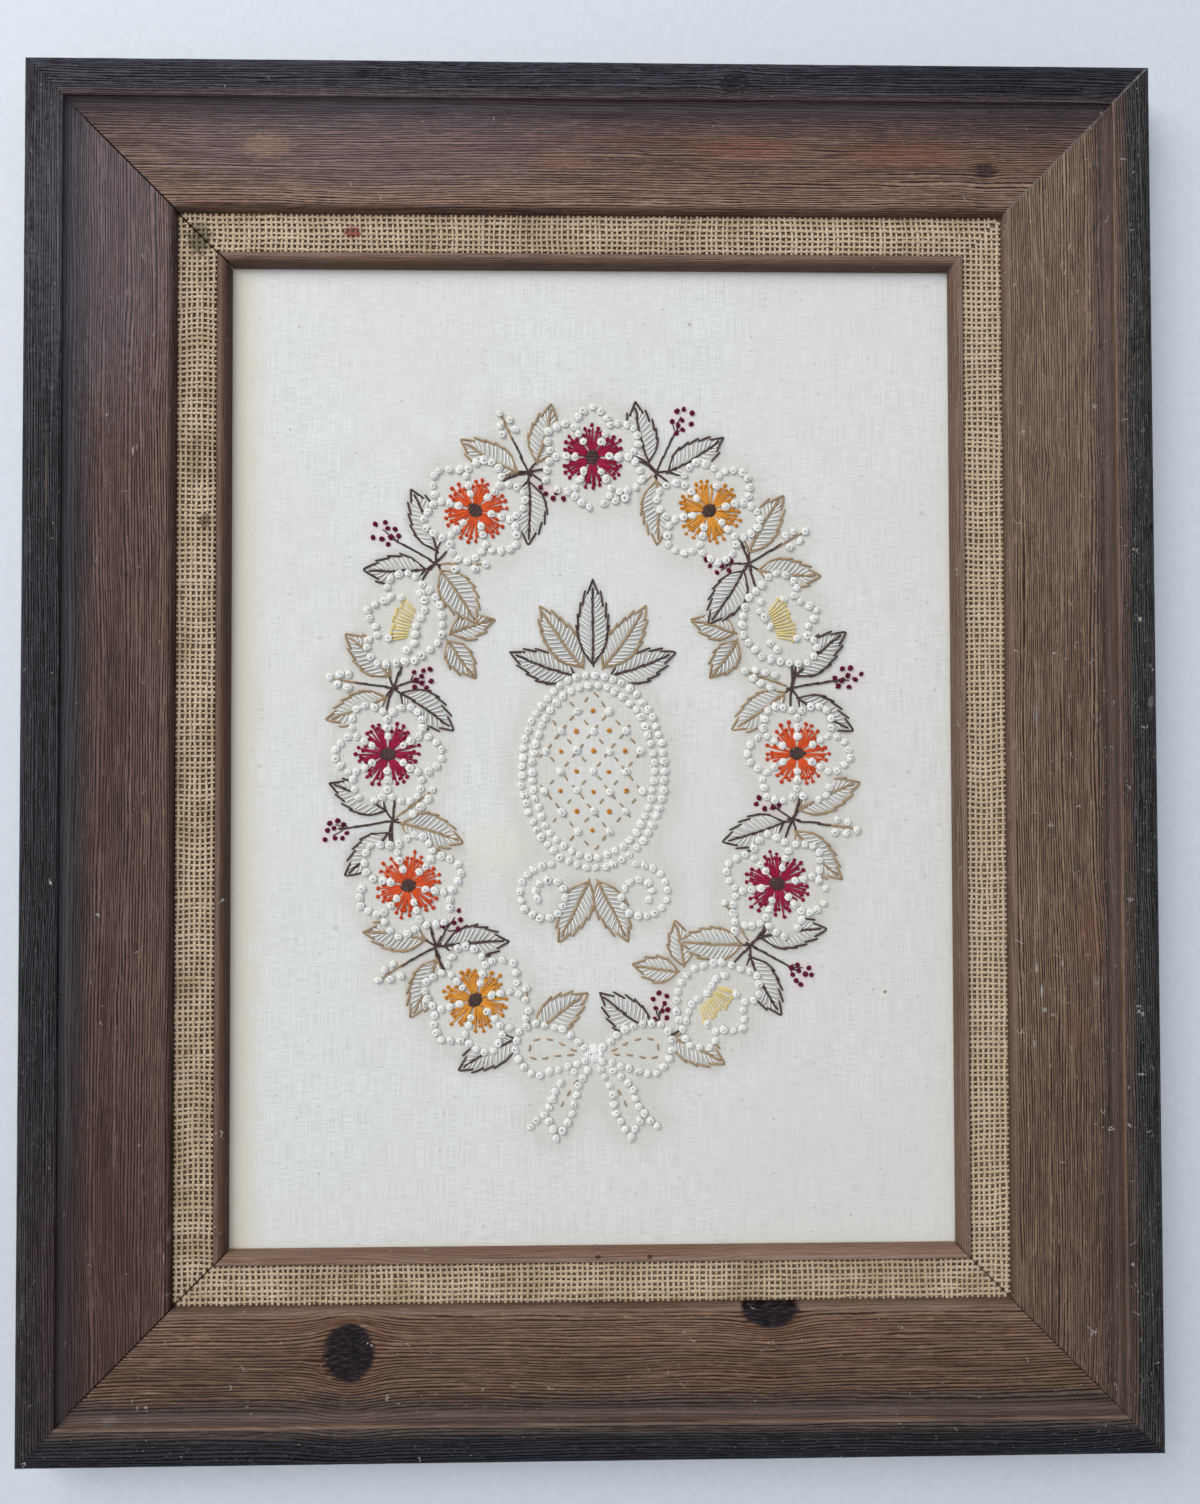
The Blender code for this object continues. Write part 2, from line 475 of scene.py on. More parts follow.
def stations(half, knots):
    """Shares from 0 to 1 along a rail, closer together near its large knots."""
    fine = np.linspace(-half, half, 2001)
    near = np.zeros_like(fine)
    for at, _, radii, _ in knots:
        if radii[0] > LARGE_KNOT:
            near = np.maximum(near, np.exp(-(((fine - at) / NEAR_KNOT) ** 2)))
    density = 1 / STATION + (1 / STATION_NEAR_KNOT - 1 / STATION) * near
    sum_to = np.concatenate([[0], np.cumsum((density[1:] + density[:-1]) / 2 * np.diff(fine))])
    at = np.interp(np.linspace(0, sum_to[-1], round(sum_to[-1]) + 1), sum_to, fine)
    return (at + half) / (2 * half)


def grain(along, girth, inward, knots, facts):
    """The wood's relief from 0 to 1, its ring number, and its knots' darkness, halo and calm."""

    def wander(size, u, v, number):
        return size * (value_noise(u, v, facts["seed"] + number) - 0.5)

    drift = wander(facts["drift"], along / 150, girth / 60, 0)
    drift += wander(1.3, along / 46, girth / 16, 1) + wander(0.38, along / 14, girth / 4, 6)
    line = girth + drift
    dark, halo = np.zeros_like(line), np.zeros_like(line)
    for at, inset, (long_radius, wide_radius), darkness in knots:
        from_knot = along - at
        aside = inward - inset + 0 * along
        far = np.hypot(from_knot / (1.35 * long_radius), aside / wide_radius)
        fade = np.exp(-((from_knot / (1.8 * long_radius)) ** 2))
        line = line - aside * fade * 0.36 / np.maximum(far, 1.0) ** 2
        round_it = np.hypot(from_knot / long_radius, aside / wide_radius)
        round_it += wander(0.12, along / 5, girth / 5, 7)
        inside = smoothstep(1.05, 0.93, round_it)
        dark = np.maximum(dark, inside * darkness)
        glow = np.exp(-(((round_it - 1.08) / 0.34) ** 2)) * (0.4 + darkness / 2)
        halo = np.maximum(halo, glow * (1 - inside))
    ring = line / facts["line"]
    ring = ring + wander(1.9, ring / 5.5, along / 260, 2)
    ring = ring + wander(0.7, ring / 1.7, along / 70, 11)
    ring = ring + wander(0.42, ring / 1.1, along / 26, 12)
    ring = ring * np.where(inward < LIP_WIDTH, LIP_FINER, 1.0)
    crest = smoothstep(0.15, 0.62, np.abs(2 * (ring % 1) - 1))
    strength = 0.84 + wander(1.2, np.round(ring) * 3.7, along / 22, 3)
    fibre = 0.5 + wander(1.0, ring / 0.31, along / 6, 4)
    relief = 1 - np.clip(strength, 0, 1) * (1 - crest)
    relief = np.clip(relief - 0.28 * fibre, 0, 1)
    long, wide = facts["patch"]
    calm = 0.5 + wander(0.60, along / long, girth / wide, 8)
    calm += wander(0.26, along / 16, girth / 2.2, 9) + wander(0.14, along / 5, girth / 0.8, 10)
    calm = smoothstep(0.52, 0.66, calm) * np.exp(-(((inward - facts["calm"]) / 10) ** 2))
    relief = relief + (0.8 - relief) * 0.15 * calm
    return relief * (1 - dark) + 0.4 * dark, ring, dark, halo, calm


def soot(facts, spot, finish):
    """The finish of each point of the section, with the rail's own charcoal and painted light, and
    its cove.
    """
    inward, up = spot.T
    panel_start = LIP_WIDTH + COVE_WIDTH
    face = up > CHANNEL_BED + 0.01
    lip = face & (inward < LIP_WIDTH - LIP_EDGE_ROUND)
    toward_cove = smoothstep(0.5, 1.0, inward / LIP_WIDTH)
    edge = face & (inward >= LIP_WIDTH - LIP_EDGE_ROUND) & (up > COVE_TOP - 0.01)
    cove = face & (inward >= LIP_WIDTH - 0.01) & (inward < panel_start) & ~edge
    panel = face & (inward >= panel_start) & (inward < PANEL_END)
    step = face & (inward >= PANEL_END) & (inward <= CHANNEL_START)
    finish[lip, 0] += (facts["lip_soot"] - finish[lip, 0]) * toward_cove[lip]
    # The lip's edge: worn, with a painted highlight on the lit rails
    finish[edge, :2] = facts["lip_soot"], facts["edge_worn"]
    finish[cove, 0] = facts["cove_soot"]
    finish[panel, 0] = facts["panel_soot"] - (inward[panel] - panel_start) / facts["soot_width"]
    # Painted light on the step of the lit rails: paler, with less charcoal
    finish[step, 1] = facts["step_worn"]
    finish[step, 0] -= facts["step_worn"]
    toward_lip = smoothstep(0.85, 0.35, (inward - LIP_WIDTH) / COVE_WIDTH)
    return finish, np.stack([cove, toward_lip, 0 * toward_lip], axis=1)


def lay_on(side, along, inward, up):
    """Points of a rail's own (along, inward, up) as points of the frame."""
    out_x, out_y = RAILS[side]["outward"]
    out = RAILS[side]["reach"] - inward
    x = out_x * out + abs(out_y) * along
    y = out_y * out + abs(out_x) * along
    return np.stack(np.broadcast_arrays(x, y, up), axis=-1)


def rail(side, material):
    facts, knots = RAILS[side], KNOTS[side]
    spot, normal, girth, brushed, finish = rail_section()
    share = stations(facts["half"], knots)
    rows, columns = len(spot), len(share)
    back_off = [end / 2 * math.sqrt(2) for end in facts["ends"]]

    def along_at(inward):
        gap = SHUT + (1 - SHUT) * smoothstep(LIP_WIDTH, LIP_WIDTH + SHUT_TO_OPEN, inward)
        low = -(facts["half"] - inward) + back_off[0] * gap
        high = facts["half"] - inward - back_off[1] * gap
        return low + (high - low) * share

    inward, up = spot[:, :1], spot[:, 1:]
    relief, ring, *flaws = grain(along_at(inward), girth[:, None], inward, knots, facts)
    brushed = brushed[:, None]
    depth = brushed * (1 - relief) + KNOT_SUNK * flaws[0] * (brushed > 0)
    up = np.where(up < 0.01, 0.0, up - normal[:, 1:] * depth)
    inward = inward - normal[:, :1] * depth
    along = along_at(inward)
    flip = side in ("top", "left")
    walls = strip_faces(rows, columns, closed=True, flip=flip)
    low_end = (np.arange(rows) * columns)[None, :]
    high_end = low_end + columns - 1
    caps = [low_end[:, ::-1], high_end] if flip else [low_end, high_end[:, ::-1]]
    finish, cove = [np.repeat(part, columns, axis=0) for part in soot(facts, spot, finish)]
    made = make_piece(
        "brushed_rail_" + side,
        lay_on(side, along, inward, up).reshape(-1, 3),
        [walls, *caps],
        material,
        "brushed_wood",
        50,
        grain=np.stack([along, ring, relief], axis=-1).reshape(-1, 3),
        finish=finish,
        flaws=np.stack(flaws, axis=-1).reshape(-1, 3),
        cove=cove,
    )
    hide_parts("rail_" + side)


# The stain's colours on each rail: its valleys and ridges, its charcoal beside the cove and on the
# lip, the foot and the top of its cove, the top painted lighter as painted light, its worn edges
# and the painted light on the lit rails' edges, how reddish its patches are, how rare its pale
# flecks are, its pale hairlines and how strong they are, how rare its lint is, how scuffed its lip
# is, the painted shade on the fillet at the sight edge, the painted highlight along its crown and
# the painted light over the whole fillet
WOODS = by_side(
    valley=((38, 27, 25), (55, 41, 35), (38, 27, 25), (46, 35, 29)),
    ridge=((128, 101, 90), (109, 85, 69), (96, 76, 70), (130, 107, 91)),
    pale_ridge=((152, 122, 107), (132, 104, 84), (116, 93, 85), (150, 125, 106)),
    inner=((184, 148, 127), (158, 126, 102), (136, 106, 95), (148, 121, 102)),
    soot=(
        ((44, 34, 35), (112, 95, 93)), ((36, 30, 28), (90, 79, 73)), ((40, 36, 37), (78, 71, 71)),
        ((46, 37, 33), (96, 81, 73)),
    ),
    lip=(
        ((6, 6, 10), (74, 75, 84)), ((8, 9, 12), (45, 48, 54)), ((9, 9, 11), (68, 68, 72)),
        ((9, 9, 9), (72, 72, 72)),
    ),
    cove=(
        ((88, 76, 79), (114, 102, 106)), ((72, 60, 56), (112, 94, 86)),
        ((84, 77, 78), (108, 102, 105)), ((70, 59, 54), (108, 90, 82)),
    ),
    worn=(
        ((78, 55, 44), (142, 111, 93)), ((96, 78, 68), (160, 132, 114)),
        ((70, 46, 34), (126, 93, 75)), ((92, 74, 64), (152, 124, 107)),
    ),
    ruddy=(0.4, 0.28, 0.15, 0.15),
    flecks=(0.77, 0.745, 0.78, 0.72),
    hair=((178, 150, 134), (168, 140, 116), (150, 124, 113), (176, 152, 132)),
    hairs=(0.5, 0.6, 0.5, 0.6),
    lint=(0.81, 0.78, 0.79, 0.735),
    scuffs=(0.3, 0.15, 0.25, 0.45),
    rim=(0.38, 0.0, 0.38, 0.12),
    crown=(0.42, 0.78, 0.38, 0.58),
    rubbed=(0.0, 0.16, 0.0, 0.04),
)

# How far the fillet reaches from the sight edge and where the painted highlight along its crown
# lies
FILLET_SPAN = 5.0
CROWN = 3.5

# The dark or rubbed line along a mitre: how far from it the line is full and where it ends
MITRE_LINE = (0.15, 0.75)

# Marks on each rail, stains and scratches, and some painted sheen, glint, light and shade: centre
# and radii, strength and colour
WOOD_MARKS = {
    "top": [
        ((-90.4, 267.6), (2.6, 1.5), 0.8, (30, 26, 30)),
        # Painted bluish sheen over the left part of the rail
        ((-90.0, 244.0), (100.0, 20.0), 0.22, (138, 127, 137)),
        ((-131.0, 243.0), (11.0, 5.0), 0.6, (178, 142, 124)),
        ((-12.5, 238.0), (12.0, 4.0), 0.5, (154, 112, 92)),
        ((62.0, 243.5), (24.0, 5.0), 0.55, (150, 102, 82)),
        ((126.0, 240.5), (26.0, 4.5), 0.5, (148, 100, 80)),
        ((180.0, 269.0), (90.0, 9.0), 0.45, (30, 32, 34)),
        ((190.0, 252.0), (50.0, 7.0), 0.3, (58, 52, 52)),
    ],
    "bottom": [
        ((-96.0, -235.4), (9.0, 0.45), 0.7, (14, 10, 14)),
        ((-95.0, -234.0), (0.45, 8.0), 0.6, (14, 10, 14)),
        # A painted glint on the knot's upper edge
        ((-91.0, -224.6), (1.6, 0.5), 0.5, (190, 168, 156)),
        ((-104.0, -244.5), (1.2, 0.9), 0.35, (170, 160, 156)),
        ((1.4, -199.8), (1.5, 0.8), 0.8, (52, 36, 30)),
        ((22.1, -200.0), (1.2, 0.8), 0.8, (52, 36, 30)),
        ((-180.4, -252.2), (0.3, 1.5), 0.6, (170, 162, 152)),
        ((-175.0, -254.6), (0.7, 0.6), 0.75, (190, 180, 170)),
        ((-188.4, -258.5), (4.2, 1.1), 0.5, (150, 138, 130)),
        ((-135.7, -254.7), (0.9, 0.5), 0.6, (170, 158, 148)),
    ],
    "left": [
        # Painted sheen over the rail's upper part and painted shade over its lower part
        ((-193.0, 215.0), (30.0, 85.0), 0.28, (138, 130, 142)),
        ((-193.0, -215.0), (30.0, 90.0), 0.45, (84, 60, 53)),
        ((-219.5, -213.0), (0.8, 6.0), 0.25, (150, 156, 160)),
        ((-182.4, 120.3), (0.35, 2.2), 0.85, (190, 180, 174)),
        ((-181.0, 121.8), (0.3, 1.6), 0.75, (190, 180, 174)),
        ((-213.0, 108.0), (0.5, 18.0), 0.45, (132, 112, 96)),
        ((-168.9, -197.6), (0.25, 2.0), 0.6, (184, 176, 170)),
        ((-167.4, -189.5), (0.4, 3.2), 0.55, (160, 150, 144)),
        ((-167.8, -212.0), (0.8, 0.8), 0.6, (168, 158, 150)),
    ],
    "right": [
        # Painted light over the rail's upper part and painted shade over its lower part
        ((185.0, 170.0), (30.0, 110.0), 0.15, (170, 148, 132)),
        ((185.0, -190.0), (30.0, 90.0), 0.25, (80, 60, 50)),
        ((220.0, 19.8), (1.3, 2.2), 0.7, (150, 138, 128)),
        ((177.5, 15.0), (1.2, 5.0), 0.55, (160, 150, 142)),
        ((178.7, -95.5), (0.7, 2.4), 0.8, (188, 180, 178)),
        ((179.9, -102.7), (0.9, 1.2), 0.8, (196, 190, 184)),
        ((176.8, -86.0), (0.8, 1.7), 0.7, (174, 164, 156)),
        ((175.7, -116.1), (0.6, 1.8), 0.7, (176, 168, 160)),
        ((183.2, -104.7), (0.9, 0.6), 0.7, (184, 176, 168)),
        ((187.0, -84.1), (0.5, 1.3), 0.75, (176, 168, 160)),
        ((200.0, -90.5), (1.3, 2.4), 0.35, (156, 148, 142)),
        ((214.2, -99.9), (1.1, 0.5), 0.8, (160, 164, 162)),
        ((215.3, -102.8), (0.5, 1.0), 0.8, (160, 164, 162)),
        ((214.4, -126.5), (1.7, 0.5), 0.85, (182, 186, 184)),
        ((210.1, -131.9), (0.5, 0.8), 0.8, (170, 170, 164)),
        ((198.3, -73.0), (5.0, 17.0), 0.35, (146, 98, 72)),
        ((192.7, -110.6), (4.0, 8.0), 0.28, (150, 94, 76)),
    ],
}


def wood_material(side, seed):
    """Stained, wire-brushed pine that fades to charcoal at the lip."""
    material, tree = new_material("wood_rail_" + side, 0.6, 0.13)
    look = WOODS[side]
    along, ring, relief = attribute(tree, "grain")
    charcoal, worn, bare = attribute(tree, "finish")
    dark, halo, calm = attribute(tree, "flaws")
    in_cove, toward_lip, _ = attribute(tree, "cove")
    where, x, y = place(tree)

    def grained(long, rings, detail=2.0, across=ring):
        """Noise drawn out along the grain."""
        u, v = along * (1 / long) + seed * 3.1, across * (1 / rings) + seed * 1.7
        return noise(combine(u, v, seed * 0.9), 1.0, detail)

    # The grain, from its valleys to its crests
    sway = ring + 0.34 * grained(14.0, 2.2) + 0.16 * grained(2.2, 0.6)
    crest = ramp(abs(2.0 * maths("FRACT", sway - 0.25) - 1.0), 0.10, 0.62)
    crest = 1.0 - (1.0 - crest) * ramp(grained(16.0, 0.9), 0.30, 0.58, 0.26, 1.0)
    fibre = grained(7.0, 0.34, 3.0, sway)
    scratch = ramp(grained(4.0, 0.40, 1.0, sway), 0.54, 0.72)
    streak = grained(22.0, 1.6)
    broad = grained(60.0, 5.0, 3.0)
    patch = grained(34.0, 8.0)
    tone = 0.42 * crest + 0.30 * relief + 0.55 * fibre + 0.24 * scratch + 0.22 * streak
    tone = ramp(tone, 0.59, 1.27)
    tone = tone + 0.12 * calm * (1.1 * fibre - 0.05 - tone)

    # Brown wood
    valley = mix(ramp(patch, 0.35, 0.65), look["valley"], (50, 33, 28))
    ridge = mix(ramp(broad, 0.36, 0.64), look["ridge"], look["pale_ridge"])
    soot_end = (LIP_WIDTH - PANEL_END) / RAILS[side]["soot_width"]
    ridge = mix(ramp(charcoal, 0.0, soot_end), ridge, look["inner"])
    ruddy = maths("MAXIMUM", calm, ramp(patch, 0.54, 0.74, 0.0, 0.7))
    ridge = mix(look["ruddy"] * ruddy, ridge, (134, 88, 68))
    hairs = ramp(grained(20.0, 0.30, 1.0, sway), 0.62, 0.76, 0.0, look["hairs"])
    brown = mix(hairs, mix(tone, valley, ridge), look["hair"])
    brown = mix(0.65 * halo, brown, mix(tone, (60, 38, 29), (138, 98, 74)))

    # Charcoal over it, the blacker lip, and the satin cove, its colour painted lighter towards the
    # lip as painted light
    on_lip = ramp(charcoal, 0.95, 1.35)
    lip = mix(ramp(tone, 0.12, 0.94), *look["lip"])
    black = mix(on_lip, mix(tone, *look["soot"]), lip)
    sooty = ramp(charcoal + 0.9 * broad - 0.35 * tone - 0.28, 0.0, 0.9, 0.0, 0.96)
    colour = mix(sooty, brown, black)
    cove_tone = ramp(0.3 * crest + 0.35 * (streak + fibre), 0.35, 0.8)
    cove_shade = mix(cove_tone, (196, 196, 196), (255, 255, 255))
    cove = mix(1.0, mix(toward_lip, *look["cove"]), cove_shade, "MULTIPLY")
    colour = mix(0.9 * in_cove, colour, cove)

    # Worn edges with painted light on the lit rails' lip edges and steps, checked knots, and bare
    # pine at the back
    rub = worn * ramp(grained(60.0, 14.0), 0.35, 0.6, 0.4, 0.9)
    colour = mix(rub, colour, mix(fibre, *look["worn"]))
    checks = ramp(noise(combine(260.0 * x, 1500.0 * y), 1.0), 0.42, 0.78)
    cross_checks = ramp(noise(combine(1300.0 * x, 300.0 * y), 1.0), 0.66, 0.80, 0.0, 0.6)
    checked = maths("MAXIMUM", checks, cross_checks)
    colour = mix(dark, colour, mix(checked, (20, 15, 19), (66, 56, 60)))
    pine = mix(ramp(grained(120.0, 1.6), 0.3, 0.7), (178, 146, 104), (208, 180, 138))
    colour = mix(bare, colour, pine)

    # Pale flecks, scuffs on the lip, and curls of lint
    flecks, lint = look["flecks"], look["lint"]
    specks = ramp(grained(1.9, 0.36, 1.0), flecks, flecks + 0.05, 0.0, 0.8)
    specks = specks * ramp(patch, 0.40, 0.62, 0.35, 1.0) * (1.0 - halo) * (1.0 - dark)
    colour = mix(specks, colour, (192, 184, 174))
    scuffs = ramp(grained(1.6, 0.7, 1.0), 0.66, 0.74, 0.0, look["scuffs"])
    colour = mix(scuffs * on_lip, colour, (132, 136, 136))
    curl = ramp(abs(noise(where, 190.0, 1.0) - 0.5), 0.016, 0.004)
    curl = curl * ramp(noise(where, 230.0, 0.0), lint, lint + 0.03, 0.0, 0.75)
    colour = mix(curl, colour, (190, 184, 176))

    # The fillet: painted shade at the sight edge, painted light over it on the lit rails, and a
    # painted highlight along its crown
    off_sight = maths("MAXIMUM", abs(x) - SIGHT_HALF[0] * MM, abs(y) - SIGHT_HALF[1] * MM)
    rim = ramp(off_sight, 1.5 * MM, 0.2 * MM, 0.0, look["rim"])
    colour = mix(rim, colour, (50, 40, 41))
    lit_fillet = ramp(off_sight, FILLET_SPAN * MM, (FILLET_SPAN - 0.4) * MM, 0.0, look["rubbed"])
    colour = mix(lit_fillet, colour, (186, 138, 108))
    crown = ramp(abs(off_sight - CROWN * MM), 1.3 * MM, 0.4 * MM)
    crown = crown * ramp(grained(26.0, 5.0), 0.34, 0.60, 0.15, look["crown"])
    colour = mix(crown, colour, (158, 132, 118))

    # Marks, some of them painted sheen and shade, and the line along the mitres, which is rubbed
    # pale at the top right
    colour = marked(colour, where, WOOD_MARKS[side], tone)
    top_right = ramp(maths("MINIMUM", x, y), -MM, MM)
    bare_lip = maths("MAXIMUM", top_right, ramp(charcoal, 0.95, 0.55, 0.15, 1.0))
    line = ramp(off_mitre(x, y), MITRE_LINE[1] * MM, MITRE_LINE[0] * MM, 0.0, 0.75)
    line = line * ramp(streak, 0.35, 0.6, 0.35, 1.0) * bare_lip
    colour = mix(line, colour, mix(top_right, (34, 27, 25), (150, 142, 138)))
    height = (fibre + crest) * (1.0 - 0.8 * dark)
    return painted(material, colour, height, 0.18, ramp(fibre, 0.2, 0.8, 0.70, 0.48))


# Burlap

# Its place in the channel, how far it is cut back at the mitres, the spacing of its yarns, how far
# they rise and sink, their half width and flatness, the shortest of them, and the points along
# them for each crossing
BURLAP_START = CHANNEL_START + 0.3
BURLAP_WIDTH = CHANNEL_WIDTH - 0.6
BURLAP_LAYER = 13.85
BURLAP_CUT = 0.1
BURLAP_PITCH = 2.15
BURLAP_WAVE = 0.22
YARN_HALF_WIDTH = 0.66
YARN_FLATNESS = 0.46
SHORTEST_YARN = 0.6
YARN_POINTS = 3

# How uneven it is: how far yarns along it sway and yarns across it bow, how far off their places
# both are, and the least thickness of a yarn and how much it swells
SWAY, SWAY_OFF = 0.62, 0.08
BOWED, BOWED_OFF = 1.1, 0.17
THIN, SWELL_ALONG, SWELL_ACROSS = 0.76, 0.58, 0.5

# Loose fibres on it
FIBRES = 220
FIBRE_RADIUS = 0.055
FIBRE_LAYER = BURLAP_LAYER + 0.3

# How browned each strip is, and how dark the line is where it meets the next one, at its left or
# upper end and at its other end
BURLAP = by_side(
    aged=(0.42, 0.50, 0.58, 0.20), mitres=((0.9, 0.0), (0.95, 0.7), (0.95, 0.9), (0.0, 0.7))
)

# Marks: centre and radii, strength and colour
BURLAP_MARKS = [
    ((-96.5, 210.8), (3.6, 2.6), 0.85, (146, 62, 62)),
    ((-158.2, 207.8), (5.2, 7.4), 0.78, (92, 88, 66)),
    ((-155.5, 94.0), (2.6, 3.4), 0.70, (84, 66, 46)),
    ((-160.0, 118.0), (3.0, 12.0), 0.30, (120, 104, 74)),
]


def loose_fibres(side, random):
    """Lines of short fibres that stand up from a strip in small arcs."""
    half = RAILS[side]["half"]
    t = np.linspace(0, 1, 4)
    start_in = BURLAP_START + BURLAP_WIDTH * random.random(FIBRES)
    start_s = (half - start_in - 2) * random.uniform(-1, 1, FIBRES)
    heading = random.uniform(0, 2 * math.pi, FIBRES)
    reach = random.uniform(0.8, 2.4, FIBRES)
    lift = random.uniform(0.1, 0.7, FIBRES)
    s = start_s[:, None] + np.outer(reach * np.cos(heading), t)
    v = start_in[:, None] + np.outer(reach * np.sin(heading), t)
    v = np.clip(v, BURLAP_START, BURLAP_START + BURLAP_WIDTH)
    return lay_on(side, s, v, FIBRE_LAYER + np.outer(lift, np.sin(math.pi * t)))


def burlap(side, material):
    """A strip of plain weave: yarns along it and yarns across it, over and under each other."""
    half, seed = RAILS[side]["half"], RAILS[side]["seed"] + 9
    random = np.random.default_rng(seed)
    lengthwise = int(BURLAP_WIDTH / BURLAP_PITCH)
    margin = (BURLAP_WIDTH - (lengthwise - 1) * BURLAP_PITCH) / 2
    yarns = Yarns()

    def weave(along, inward, sign, run, thickness):
        wave = sign * BURLAP_WAVE * np.cos(math.pi * run / BURLAP_PITCH)
        line = lay_on(side, along, inward, BURLAP_LAYER + wave)
        yarns.add(line[None], YARN_HALF_WIDTH * thickness[None], 4, YARN_FLATNESS)

    # Yarns along the strip, then yarns across it, then what stands up from them
    cross_count = int(2 * half / BURLAP_PITCH)
    shift = random.normal(0, BOWED_OFF, cross_count + 1)
    for k in range(lengthwise):
        inward = BURLAP_START + margin + k * BURLAP_PITCH
        reach = half - inward - BURLAP_CUT
        s = np.linspace(-reach, reach, int(2 * reach / BURLAP_PITCH * YARN_POINTS) + 1)
        sway = SWAY * (value_noise(s / 8.0, k * 3.7, seed) - 0.5) + random.normal(0, SWAY_OFF)
        thickness = THIN + SWELL_ALONG * value_noise(s / 3.6, k * 5.1, seed + 1)
        weave(s, inward + sway, (-1) ** k, s + half, random.uniform(0.92, 1.10) * thickness)
    for j in range(cross_count + 1):
        s = -half + j * BURLAP_PITCH
        reach = min(BURLAP_WIDTH, half - abs(s) - BURLAP_CUT - BURLAP_START)
        if reach < SHORTEST_YARN:
            continue
        steps = int(reach / BURLAP_PITCH * YARN_POINTS) + 2
        v = np.linspace(-random.uniform(0, 0.18), reach, steps)
        bow = BOWED * (value_noise(v / 9.0, j / 11.0, seed + 2) - 0.5)
        thickness = THIN + SWELL_ACROSS * value_noise(v / 5.0, j * 4.3, seed + 3)
        thickness = random.uniform(0.80, 1.22) * thickness
        weave(s + shift[j] + bow, BURLAP_START + v, -((-1) ** j), v - margin, thickness)

    yarns.add(loose_fibres(side, random), FIBRE_RADIUS, 3)

    made = yarns.piece("woven_burlap_" + side, material, "burlap")
    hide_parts("burlap_" + side)
    length = 2 * (half - BURLAP_START)
    length * MM
    BURLAP_WIDTH * (length - BURLAP_WIDTH) * MM * MM


def burlap_material(side):
    """Coarse jute, browned by age, with a dark line where two strips meet."""
    material, tree = new_material("jute_" + side, 0.9, 0.05)
    run, around, tint = attribute(tree, "strand")
    where, x, y = place(tree)
    fibre = noise(combine(0.5 * run, 9.0 * around, 90.0 * tint), 1.0)
    colour = mix(ramp(fibre, 0.3, 0.7), (140, 117, 91), (214, 189, 160))
    colour = mix(ramp(tint, 0.2, 0.9, 0.0, 0.5), colour, (226, 205, 177))
    aged = ramp(noise(where, 60.0, 3.0), 0.35, 0.7, 0.0, BURLAP[side]["aged"])
    colour = marked(mix(aged, colour, (152, 128, 94)), where, BURLAP_MARKS)
    first, last = BURLAP[side]["mitres"]
    near_last = ramp(x if side in ("top", "bottom") else -1.0 * y, -MM, MM)
    line = ramp(off_mitre(x, y), 0.62 * MM, 0.22 * MM) * (first + (last - first) * near_last)
    return painted(material, mix(line, colour, (38, 28, 20)), fibre, 0.12)


# Stitches: what the needle does is gathered by thread, then made as one mesh for each thread. Each
# motif lies in front of the motifs after it, and its outline hides what they put behind it.

# The candlewick yarn's radius, that of a knot's coil, how far apart knots lie on a line, and the
# points along a knot's yarn
YARN = 0.71
KNOT_COIL = 1.18
KNOT_STEP = 3.75
KNOT_STEPS = 15

# The radius of a common stitch
STRAND = 0.42

NEEDLEWORK = {}
OUTLINES = []
HAND = np.random.default_rng(11)


def needlework(thread):
    return NEEDLEWORK.setdefault(thread, {"stitches": [], "knots": []})


def motif(outline=None):
    """Starts the next motif, with its closed outline as an array of places."""
    OUTLINES.append(outline)


def unsteady(size):
    """A small random step, as the needle goes in a little beside the drawn line."""
    return size * complex(*HAND.normal(0, 1, 2))


def stitch(thread, start, end, radius=STRAND):
    found = (start + unsteady(0.12), end + unsteady(0.12), radius, len(OUTLINES))
    needlework(thread)["stitches"].append(found)


def knot(thread, where, size=1.0):
    needlework(thread)["knots"].append((where + unsteady(0.16), size, len(OUTLINES)))


def curve(*places, closed=False, steps=16):
    """A smooth curve through places."""
    places = list(places)
    if closed:
        ring = [places[-1], *places, places[0], places[1]]
    else:
        ring = [2 * places[0] - places[1], *places, 2 * places[-1] - places[-2]]
    t = np.linspace(0, 1, steps, endpoint=False)
    parts = []
    for a, b, c, d in zip(ring, ring[1:], ring[2:], ring[3:]):
        parts.append(
            b + (c - a) / 2 * t + (a - 2.5 * b + 2 * c - d / 2) * t**2
            + (-a / 2 + 1.5 * b - 1.5 * c + d / 2) * t**3
        )
    if not closed:
        parts.append(np.array([places[-1]]))
    return np.concatenate(parts)


def spaced(line, step, closed=False):
    """Places evenly spaced along a line."""
    if closed:
        line = np.append(line, line[0])
    far = np.concatenate([[0], np.cumsum(np.abs(np.diff(line)))])
    count = max(1, round(far[-1] / step))
    at = np.linspace(0, far[-1], count + 1)
    if closed:
        at = at[:-1]
    return np.interp(at, far, line.real) + 1j * np.interp(at, far, line.imag)


def knot_line(line, closed=False):
    for where in spaced(line, KNOT_STEP, closed):
        knot("ivory", where)


def stem(thread, line, length=4.0, radius=STRAND):
    """Stem stitch: slanted stitches that overlap like a rope."""
    marks = spaced(np.asarray(line), length)
    for here, there in zip(marks, marks[1:]):
        way = (there - here) / abs(there - here)
        lean = 0.22j * way
        stitch(thread, here - 0.5 * way - lean, there + 1.2 * way + lean, radius)


def running(thread, line, length=2.6, radius=0.36):
    """Running stitch: every other length of the line."""
    marks = spaced(line, length)
    for here, there in zip(marks[::2], marks[1::2]):
        stitch(thread, here, there, radius)


# The length of a leaf's teeth, and how far apart its fine white stitches are and how far they lean
TOOTH = 4.4
FISHBONE = 1.9
FISHBONE_LEAN = 3.2


